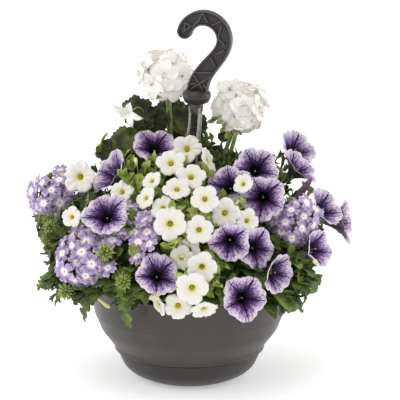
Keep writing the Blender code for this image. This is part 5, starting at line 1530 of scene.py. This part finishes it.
# %% [markdown]
# Leaves come in layers. The large ones that shape the outline and the ones by rule are in the
# construction model, so they are found again by their tips, and take its roots and lengths.

# %% Leaves of the construction model
LEAF_SHRINKS = (1, 0.92, 0.84, 0.76, 0.68)
LEAF_ASIDES = ((0, 0, 0), (0.012, 0, 0), (-0.012, 0, 0), (0, -0.012, 0), (0, 0.012, 0), (0, 0, 0.01))
LARGE_LEAF_TURNS = (-14, 16, 2)
SMALL_LEAVES = {(226, 132): 0.4}
FOOT_RISE = 0.01
ROUND_LEAF_CORNERS = 12
BUD_WIDTH = 0.012
# Leaves by rule: tries, edge kept free at a plant's sides, lowest start, band of starts, how far in they are
LEAF_TRIES, LEAF_EDGE, LEAF_LOW, LEAF_BAND, LEAF_START = 8, 0.08, 0.142, 0.078, 0.8
LEAF_SPREADS = ((-.5, .5), (-.5, .5), (-.35, .45))
RULE_SAG = 0.08


def leaf_mark(foot, tip, width, kind, turn):
    """A corner that the facetted leaf has: its tip, or the first scallop of a round one."""
    if kind != "round":
        return tip
    along = (tip - foot).normalized()
    angle = 2 * pi / ROUND_LEAF_CORNERS
    place = pose(tip - along * width * 0.45, facing(turn, ROUND_LEAF_TILT))
    return place @ Vector((width / 2 * cos(angle), width / 2 * sin(angle), 0.0035))


def skin_point(name, azimuth, height):
    """The point of a heart's skin nearest to a place well inside the canopy, and the way out from it."""
    start = on_back(azimuth, height) * LEAF_START
    start.z = height
    return hearts[name].find_nearest(start)[:2]


found = dict.fromkeys(PLANTS, 0)
for i, (plant, foot, tip_pixel, foot_lift, reach, width, arch, kind) in enumerate(LARGE_LEAVES):
    draw = Random(i)
    tip = at_depth(tip_pixel, reach) if kind == "round" else on_canopy(tip_pixel, reach)
    root = rooted(plant, on_canopy(foot, foot_lift) + Vector((0, 0, FOOT_RISE)))
    turn = LARGE_LEAF_TURNS[i % len(LARGE_LEAF_TURNS)]
    tips = [root + (tip - root) * shrink + Vector(aside) for shrink in LEAF_SHRINKS for aside in LEAF_ASIDES]
    misses = [corners[plant].find(leaf_mark(root, end, width, kind, turn))[2] for end in tips]
    if min(misses) >= MATCH:
        continue
    tip = tips[misses.index(min(misses))]
    found[plant] += 1
    if width < BUD_WIDTH:
        skin = Skin()
        skin.stem([root.lerp(tip, share) for share in (0, 0.3, 0.5, 0.62, 0.78, 0.92, 1)],
                  [0.0011, 0.0012, 0.0016, 0.003, 0.0052, 0.0042, 0.0012], sides=12)
        skin.piece("petunia_bud", plant, "petunia_petal", [bud_purple])
        continue
    add_leaf(plant, root, tip, width * SMALL_LEAVES.get(tip_pixel, 1), kind, arch, turn, draw)
for name, (species, first, last, *_) in PLANTS.items():
    share, length, width, kind = LEAF_RULES[species]
    for i in range(round(share * (last - first) / 10)):
        for attempt in range(LEAF_TRIES):
            draw = Random(f"{name} {i} {attempt}")
            azimuth = first + (last - first) * (LEAF_EDGE + (1 - 2 * LEAF_EDGE) * draw.random())
            height = LEAF_LOW + LEAF_BAND * draw.random()
            root, normal = skin_point(name, azimuth, height)
            away = normal + Vector([draw.uniform(*spread) for spread in LEAF_SPREADS])
            tip = root + away.normalized() * length * draw.uniform(0.8, 1.15)
            breadth = width * draw.uniform(0.85, 1.1)
            foot = sunk(root, name)
            if corners[name].find(leaf_mark(foot, tip, breadth, kind, azimuth))[2] < MATCH:
                shape = "oval" if species == "petunia" else kind
                add_leaf(name, foot, tip, breadth, shape, RULE_SAG, azimuth, draw)
                found[name] += 1
                break
print("leaves found again:", found)

# %% [markdown]
# Leafy shoots fill the space between the hearts and the blooms, as they do on the real plants. Fixed
# steps round and up spread them evenly over each heart without rows, and they carry pairs of leaves,
# each pair turned from the last. What would stick through a bloom or out of the outline is left out.

# %% Shoots
# By species: shoots in 40 degrees, their length, their leaves' length and width, pairs and kind
SHOOTS = {
    "verbena": (30, 0.046, 0.028, 0.018, 4, "lobed"), "petunia": (30, 0.04, 0.03, 0.017, 3, "oval"),
    "calibrachoa": (40, 0.044, 0.02, 0.0085, 5, "small"), "geranium": (10, 0.05, 0.04, 0.04, 1, "round"),
}
# Edge kept free at a plant's sides, lowest start, band of starts, and their even steps round and up
SHOOT_EDGE, SHOOT_LOW, SHOOT_BAND, ROUND_STEP, UP_STEP = 0.05, 0.138, 0.084, 0.618, 0.7548
SHOOT_RADIUS = 0.001
# The pot's rim, as far as shoots need it: its reach, the room above it, and the lowest tip outside it
RIM_REACH, RIM_ROOM, LOWEST_TIP = 0.145, 0.004, 0.118
PAIR_TURN = 1.9
# How far behind a bloom's face and how far before it a leaf is in its way, and within what share of its radius
BLOOM_BACK, BLOOM_FRONT, BLOOM_SHARE = -0.006, 0.06, 0.95
# One place by the geranium heads is kept free of shoots like a bloom
OPEN_PIXEL, OPEN_DEPTH, OPEN_RADIUS = (170, 114), 0.07, 0.024


def is_free(point):
    """Whether a point is inside the planting's outline and neither in nor in front of a bloom."""
    for throat, direction, radius in bloom_places:
        off = point - throat
        deep = off.dot(direction)
        if BLOOM_BACK < deep < BLOOM_FRONT and (off - direction * deep).length < radius * BLOOM_SHARE:
            return False
    return in_view(point)


def leafy_path(path, spacing, length, width, kind, skin, draw, start=0.25):
    """Leaves in alternate pairs along a stem."""
    walked, run, turn = 0.0, 0.0, draw.uniform(0, 6)
    total = sum((b - a).length for a, b in zip(path, path[1:]))
    for a, b in zip(path, path[1:]):
        step = (b - a).length
        walked += step
        run += step
        if run < spacing or walked < total * start or step == 0:
            continue
        run = 0.0
        turn += PAIR_TURN
        ahead = (b - a).normalized()
        side = ahead.orthogonal().normalized()
        other = ahead.cross(side)
        for half in (0, pi):
            way = side * cos(turn + half) + other * sin(turn + half)
            reach = length * draw.uniform(0.7, 1.1)
            tip = b + (way * 0.85 + ahead * draw.uniform(0.3, 0.7) + Vector((0, 0, 0.1))).normalized() * reach
            if is_free(tip):
                skin.sheet(leaf_sheet(b, tip, width * draw.uniform(0.8, 1.15), kind, 0.06, draw))


bloom_places.append((at_depth(OPEN_PIXEL, OPEN_DEPTH), -view_forward, OPEN_RADIUS))
for name, (species, first, last, *_) in PLANTS.items():
    count, length, reach, width, pairs, kind = SHOOTS["verbena" if name == FRONT_LEFT else species]
    draw = Random(name + " shoots")
    for i in range(round(count * (last - first) / 40)):
        azimuth = first + (last - first) * (SHOOT_EDGE + (1 - 2 * SHOOT_EDGE) * ((i * ROUND_STEP) % 1))
        height = SHOOT_LOW + SHOOT_BAND * ((i * UP_STEP + draw.random() * 0.1) % 1)
        root, normal = skin_point(name, azimuth, height)
        away = (normal + shake(draw, 0.45)).normalized()
        tip = root + away * length * draw.uniform(0.6, 1.15)
        tip.z = max(tip.z, POT_HEIGHT + RIM_ROOM if tip.xy.length < RIM_REACH else LOWEST_TIP)
        if not in_view(tip):
            tip = root.lerp(tip, 0.45)
        if not is_free(tip):
            tip = root.lerp(tip, 0.55)
        if not is_free(tip):
            continue
        foot = sunk(root, name)
        if kind == "round":
            add_leaf(name, foot, tip, reach * draw.uniform(0.6, 1.1), kind, 0,
                     azimuth + draw.uniform(-25, 25), draw, tilt=draw.uniform(25, 60))
            continue
        path = smooth_path([foot, root.lerp(tip, 0.5) + Vector((0, 0, draw.uniform(-0.004, 0.006))), tip], 12)
        stems[name].stem(path, SHOOT_RADIUS, sides=5)
        leafy_path(path, length / pairs * 0.8, reach, width, kind, blades[name], draw)
        end = tip + (path[-1] - path[-2]).normalized() * reach * 0.8
        if is_free(end):
            blades[name].sheet(leaf_sheet(tip, end, width, kind, 0.05, draw))
print("blade points with shoots:", sum(skin.count for skin in blades.values()))

# %% [markdown]
# Sprigs are single leafy tips between the blooms, each on a stem from the nearest heart. Young light
# green ones, broad ones and the lobed ones down the left side reach the canopy. Small dark ones stand
# among the upper blooms, by their depth behind the pot's axis, and close the gaps between them. All
# four kinds are made in one loop, because only their tables differ.

# %% Sprigs
# By name: species, node, kind, length, width and spacing of leaves, range of lifts, and pixels of the tips
SPRIGS = {
    "young": ("calibrachoa", CALIBRACHOA_FRONT, "small", 0.023, 0.0105, 0.01, (0.01, 0.08), (
        (124, 160), (133, 168), (128, 178), (146, 172), (164, 176), (182, 168), (197, 188), (206, 176),
        (181, 203), (196, 214), (187, 240), (213, 228), (170, 246), (176, 272), (201, 290), (215, 286),
        (150, 190), (222, 200), (236, 200), (228, 226), (186, 268), (136, 186), (156, 164), (172, 212),
        (210, 250), (218, 262), (242, 206), (205, 218), (99, 144))),
    "broad": ("petunia", FRONT_RIGHT, "oval", 0.024, 0.014, 0.013, (-0.04, 0.03), (
        (302, 284), (309, 277), (304, 268), (314, 282), (226, 280), (213, 272), (292, 262), (272, 264),
        (216, 296), (286, 300), (258, 272), (298, 296))),
    "frond": ("verbena", VERBENA_LEFT, "lobed", 0.028, 0.018, 0.012, (-0.06, 0.02), (
        (38, 218), (44, 226), (40, 236), (48, 244), (44, 254), (52, 262), (48, 272), (58, 276), (60, 240),
        (56, 226), (66, 284), (84, 292), (104, 292), (140, 284), (146, 268), (128, 268), (112, 256), (122, 216),
        (134, 226))),
    "dark": ("petunia", FRONT_RIGHT, "small", 0.017, 0.0075, 0.008, None, (
        (208, 136, 0.05), (212, 142, 0.04), (206, 150, 0.03), (220, 153, 0.03), (229, 156, 0.02),
        (236, 158, 0.02), (214, 158, 0.02), (226, 164, 0.0), (246, 152, 0.05), (278, 156, 0.02),
        (283, 170, 0.0), (288, 182, 0.0), (272, 162, 0.03), (292, 196, 0.0), (176, 152, 0.03),
        (282, 190, 0.02), (122, 166, 0.06), (132, 162, 0.05), (142, 166, 0.04), (129, 186, 0.02),
        (140, 180, 0.02), (101, 182, 0.0), (93, 190, -0.02), (88, 200, -0.03), (104, 196, -0.02),
        (196, 160, 0.02), (204, 172, 0.0), (185, 168, 0.01), (112, 168, 0.05), (150, 176, 0.02),
        (160, 186, 0.01), (98, 172, 0.03))),
}
SPRIG_DROP = 0.012
SPRIG_BOW = 0.006
SPRIG_END_LEAVES = 3
for name, (species, node, kind, length, width, spacing, lifts, pixels) in SPRIGS.items():
    leaves, shoots = Skin(), Skin()
    for i, (u, v, *depth) in enumerate(pixels):
        draw = Random(f"{name} {i}")
        tip = at_depth((u, v), *depth) if depth else on_canopy((u, v), draw.uniform(*lifts))
        root = rooted(nearest_plant(tip), tip - Vector((0, 0, SPRIG_DROP)))
        path = smooth_path([root, root.lerp(tip, 0.55) + Vector((0, 0, SPRIG_BOW)), tip], 14)
        shoots.stem(path, SHOOT_RADIUS, sides=5)
        leafy_path(path, spacing, length, width, kind, leaves, draw, start=0.35)
        for _ in range(SPRIG_END_LEAVES):
            end = tip + ((path[-1] - path[-2]).normalized() + shake(draw, 0.7)).normalized() * length * 0.8
            if is_free(end):
                leaves.sheet(leaf_sheet(tip, end, width, kind, 0.06, draw))
    green = LEAF_FINISHES.get(name, LEAF_FINISHES[species])
    leaves.piece(name + "_sprig_leaves", node, species + "_leaf", [green] * 2, BLADE_THICKNESS)
    shoots.piece(name + "_sprig_shoots", node, species + "_leaf", [STEM_FINISHES[species]])
    print(name, "sprigs:", len(pixels))

# %% [markdown]
# More round leaves fill the geranium under its heads. Each of them shows, so they are placed one by one.
# A few at the back cover its stalks.

# %% Geranium leaves
# Pixel, depth, width, turn and tilt
GERANIUM_FILL = (
    (148, 126, 0.07, 0.048, -20, 30), (136, 118, 0.055, 0.044, 10, 50), (170, 112, 0.12, 0.05, 0, 25),
    (190, 122, 0.105, 0.046, 15, 35), (206, 152, 0.09, 0.036, -10, 45), (158, 142, 0.1, 0.046, 20, 30),
    (121, 143, 0.05, 0.044, -30, 35), (219, 158, 0.1, 0.036, 25, 30), (182, 130, 0.115, 0.05, -5, 40),
    (140, 142, 0.06, 0.046, -15, 55), (101, 152, 0.05, 0.036, -25, 40), (190, 146, 0.1, 0.046, 10, 30),
    (150, 114, 0.06, 0.02, -10, 40), (174, 146, 0.105, 0.044, 0, 50), (231, 160, 0.07, 0.032, 20, 40),
    (136, 172, 0.055, 0.046, -10, 30), (124, 160, 0.05, 0.042, -20, 30), (164, 180, 0.04, 0.04, 0, 30),
    (140, 156, 0.06, 0.04, 10, 35), (116, 174, 0.045, 0.038, -25, 35),
)
# Azimuth, radius and height, and the width and tilt that all of them have
GERANIUM_BACK = (
    (180, 0.115, 0.25), (192, 0.125, 0.265), (204, 0.13, 0.245), (216, 0.12, 0.265), (186, 0.12, 0.285),
    (200, 0.125, 0.29), (212, 0.13, 0.288), (172, 0.115, 0.275), (160, 0.12, 0.245), (222, 0.11, 0.245),
)
BACK_WIDTH, BACK_TILT = 0.046, 38
fills = [(at_depth((u, v), depth) + Vector((0, 0, width * 0.4)), width, turn, tilt)
         for u, v, depth, width, turn, tilt in GERANIUM_FILL]
fills += [(around(*where), BACK_WIDTH, where[0], BACK_TILT) for where in GERANIUM_BACK]
for i, (tip, width, turn, tilt) in enumerate(fills):
    draw = Random(f"fill {i}")
    low = tip + Vector((draw.uniform(-0.03, 0.03), draw.uniform(-0.02, 0.03), -0.06))
    add_leaf(GERANIUM, rooted(GERANIUM, low), tip, width, "round", 0, turn, draw, tilt)
print("more geranium leaves:", len(fills))

# %% [markdown]
# Between the blooms stand closed cream buds of calibrachoa, green verbena heads still in bud, verbena
# florets on stalks of their own, and one geranium floret that fades beside its head.

# %% Buds and single florets
# Pixels of the bud's two ends, lift and radius
CREAM_BUDS = (
    ((166, 290), (149, 299), 0.12, 0.0042), ((98, 299), (110, 308), 0.1, 0.003),
    ((151, 186), (153, 197), 0.1, 0.0034), ((128, 150), (122, 146), 0.1, 0.0028),
    ((214, 276), (206, 282), 0.08, 0.003), ((137, 165), (135, 158), 0.12, 0.003),
    ((168, 196), (164, 190), 0.1, 0.003), ((234, 206), (240, 200), 0.08, 0.003),
    ((318, 266), (314, 260), 0.04, 0.0036),
)
# Pixel, lift, turn, tilt and radius
BUD_HEADS = (
    (50, 227, 0.04, -35, 30, 0.011), (105, 252, 0.1, 10, 25, 0.014), (66, 291, 0.08, -20, 0, 0.013),
    (123, 282, 0.08, 0, 15, 0.013), (46, 240, 0.02, -45, 20, 0.009), (133, 250, 0.05, 0, 20, 0.008),
)
BUD_COUNT, BUD_CAP = 30, 105
LOOSE_FLORET = 0.0145
LOOSE_FLORETS = (
    (129, 208), (143, 219), (118, 233), (138, 242), (149, 244), (137, 256), (124, 226), (147, 232), (108, 268),
    (134, 232), (112, 240),
)
buds = Skin()
for start, end, lift, girth in CREAM_BUDS:
    foot, tip = on_canopy(start, lift), on_canopy(end, lift + 0.02)
    root = rooted(nearest_plant(foot), foot - Vector((0, 0, 0.01)))
    buds.stem(smooth_path([root, root.lerp(foot, 0.6), foot], 8), 0.0008, finish=1)
    buds.stem([foot.lerp(tip, share) for share in (0, 0.15, 0.45, 0.75, 0.92, 1)],
              [girth * part for part in (0.3, 0.45, 0.7, 1.0, 0.7, 0.15)], sides=10)
buds.piece("calibrachoa_buds", CALIBRACHOA_FRONT, "calibrachoa_petal", [bud_cream, STEM_FINISHES["calibrachoa"]])
heads = Skin()
for i, (u, v, lift, turn, tilt, radius) in enumerate(BUD_HEADS):
    draw = Random(f"bud head {i}")
    middle, way = on_canopy((u, v), lift), facing(turn, tilt)
    root = rooted(nearest_plant(middle), middle)
    heads.stem(smooth_path([root, middle - way * 0.012, middle], 8), 0.0013)
    for direction in cap_directions(BUD_COUNT, BUD_CAP):
        end = pose(middle, way) @ (direction * radius * draw.uniform(0.8, 1.1))
        heads.stem([middle, middle.lerp(end, 0.35), middle.lerp(end, 0.7), end], [0.0008, 0.0009, 0.0015, 0.0003])
heads.piece("verbena_bud_heads", VERBENA_LEFT, "verbena_leaf", [bud_green])
florets, stalks = Skin(), Skin()
for i, pixel in enumerate(LOOSE_FLORETS):
    draw = Random(f"loose {i}")
    point, way = on_canopy(pixel, draw.uniform(0.03, 0.07)), facing(draw.uniform(-40, 25), draw.uniform(15, 60))
    rows, shares = verbena_floret(LOOSE_FLORET * draw.uniform(0.9, 1.1), draw)
    florets.sheet(rows, wrap=True, place=pose(point, way, draw.uniform(0, 6)), along=shares)
    stalks.stem(smooth_path([rooted(LEFT, point), point - way * 0.012, point - way * 0.0005], 8), 0.0008)
florets.piece("verbena_loose_florets", "verbena_3", "verbena_petal", [verbena_petal] * 2, PETAL_THICKNESS)
stalks.piece("verbena_loose_stalks", VERBENA_LEFT, "verbena_leaf", [STEM_FINISHES["verbena"]])
floret, stalk = Skin(), Skin()
draw = Random("fading")
point, way = at_depth((129, 113), 0.03), facing(-25, -12)
for k in range(LOBES):
    spin = Matrix.Rotation(2 * pi * k / LOBES + draw.uniform(-0.3, 0.3), 4, "Z")
    rows = geranium_petal_rows(0.022 * draw.uniform(0.75, 1.15), 0.011, draw.uniform(0.2, 0.7), draw)
    floret.sheet(rows, place=pose(point, way) @ spin)
bends = [rooted(GERANIUM, point), at_depth((150, 130), 0.06), at_depth((140, 108), 0.045), point]
stalk.stem(smooth_path(bends, 20), 0.001)
floret.piece("geranium_fading_floret", GERANIUM, "geranium_petal", [geranium_petal] * 2, PETAL_THICKNESS)
stalk.piece("geranium_fading_stalk", GERANIUM, "geranium_leaf", [STEM_FINISHES["geranium"]])
print("buds:", len(CREAM_BUDS), "bud heads:", len(BUD_HEADS), "single florets:", len(LOOSE_FLORETS) + 1)

# %% [markdown]
# Small leaves grow along the flower stems too. Then each plant's blades become one piece and its stems
# another, with the crown that stands in the compost.

# %% Stem leaves and plants
# By species: spacing, length, width and kind
STEM_LEAVES = {"calibrachoa": (0.01, 0.015, 0.0055, "small"), "petunia": (0.017, 0.024, 0.011, "oval"),
               "verbena": (0.018, 0.024, 0.015, "lobed")}
for home, path in stem_paths:
    species = PLANTS[home][0]
    if species in STEM_LEAVES:
        leafy_path(path, *STEM_LEAVES[species], blades[home], Random(len(path) + path[0].x), start=0.3)
for name, (species, *_) in PLANTS.items():
    foot = crown_foot(name)
    stems[name].stem([foot, foot + Vector((0, 0, CROWN_DEPTH + 0.006))], CROWN_RADIUS, sides=12)
    blades[name].piece(name + "_leaves", name, species + "_leaf", [LEAF_FINISHES[species]] * 2, BLADE_THICKNESS)
    stems[name].piece(name + "_stems", name, species + "_leaf", [STEM_FINISHES[species]])
    print(name, "blade points:", blades[name].count)

# %% [markdown]
# The stage is soft and white: a bright white world fills the shadows, a broad sun from the upper left
# gives the blooms their shape, and two soft boxes at the sides put the pale edges on the pot. The table
# is opal acrylic lit from below, so that only a faint shadow lies on it.

# %% Stage and light
TABLE_SIZE = 8
BOX_SIZE = 0.9
BOX_TARGET = Vector((0, 0, 0.12))
WORLD_STRENGTH = 0.74


def light(name, kind, watts, way):
    """A light that shines a given way."""
    lamp = bpy.data.lights.new(name, kind)
    lamp.energy = watts
    thing = show(name, lamp)
    thing.rotation_euler = way.to_track_quat("-Z", "Y").to_euler()
    return thing


world = bpy.data.worlds.new("white_studio")
world.use_nodes = True
background = world.node_tree.nodes["Background"].inputs
background["Color"].default_value = (1, 1, 1, 1)
background["Strength"].default_value = WORLD_STRENGTH
bpy.context.scene.world = world
bpy.context.scene.view_settings.view_transform = "Standard"
for name, place, watts in (("left_edge", Vector((-1.5, 0.3, 0.6)), 5), ("right_edge", Vector((1.5, 0.2, 0.6)), 6)):
    box = light(name, "AREA", watts, BOX_TARGET - place)
    box.location = place
    box.data.size = BOX_SIZE
light("sky", "SUN", 1.1, Vector((0.35, 0.45, -1.0))).data.angle = radians(60)

opal_table, tree, surface = new_finish("opal_acrylic_lit_from_below", 0.7, {
    "Emission Color": (1, 1, 1, 1), "Emission Strength": 0.36})
cloud = add(tree, "TexNoise", {"Vector": add(tree, "TexCoord")["Object"], "Scale": MM / 60, "Detail": 2.0})
shade = add(tree, "ValToRGB", {"Fac": cloud["Fac"]}, stops=((0.3, "#f8f8f8"), (0.7, "#fcfcfc")))
connect(tree, surface, shade["Color"])
grid = bmesh.new()
bmesh.ops.create_grid(grid, x_segments=1, y_segments=1, size=TABLE_SIZE)
table = show("floor", mesh_of("floor", grid))
table.data.materials.append(opal_table)
table.location.z = -0.0004
print("lights: 3 and a white world")
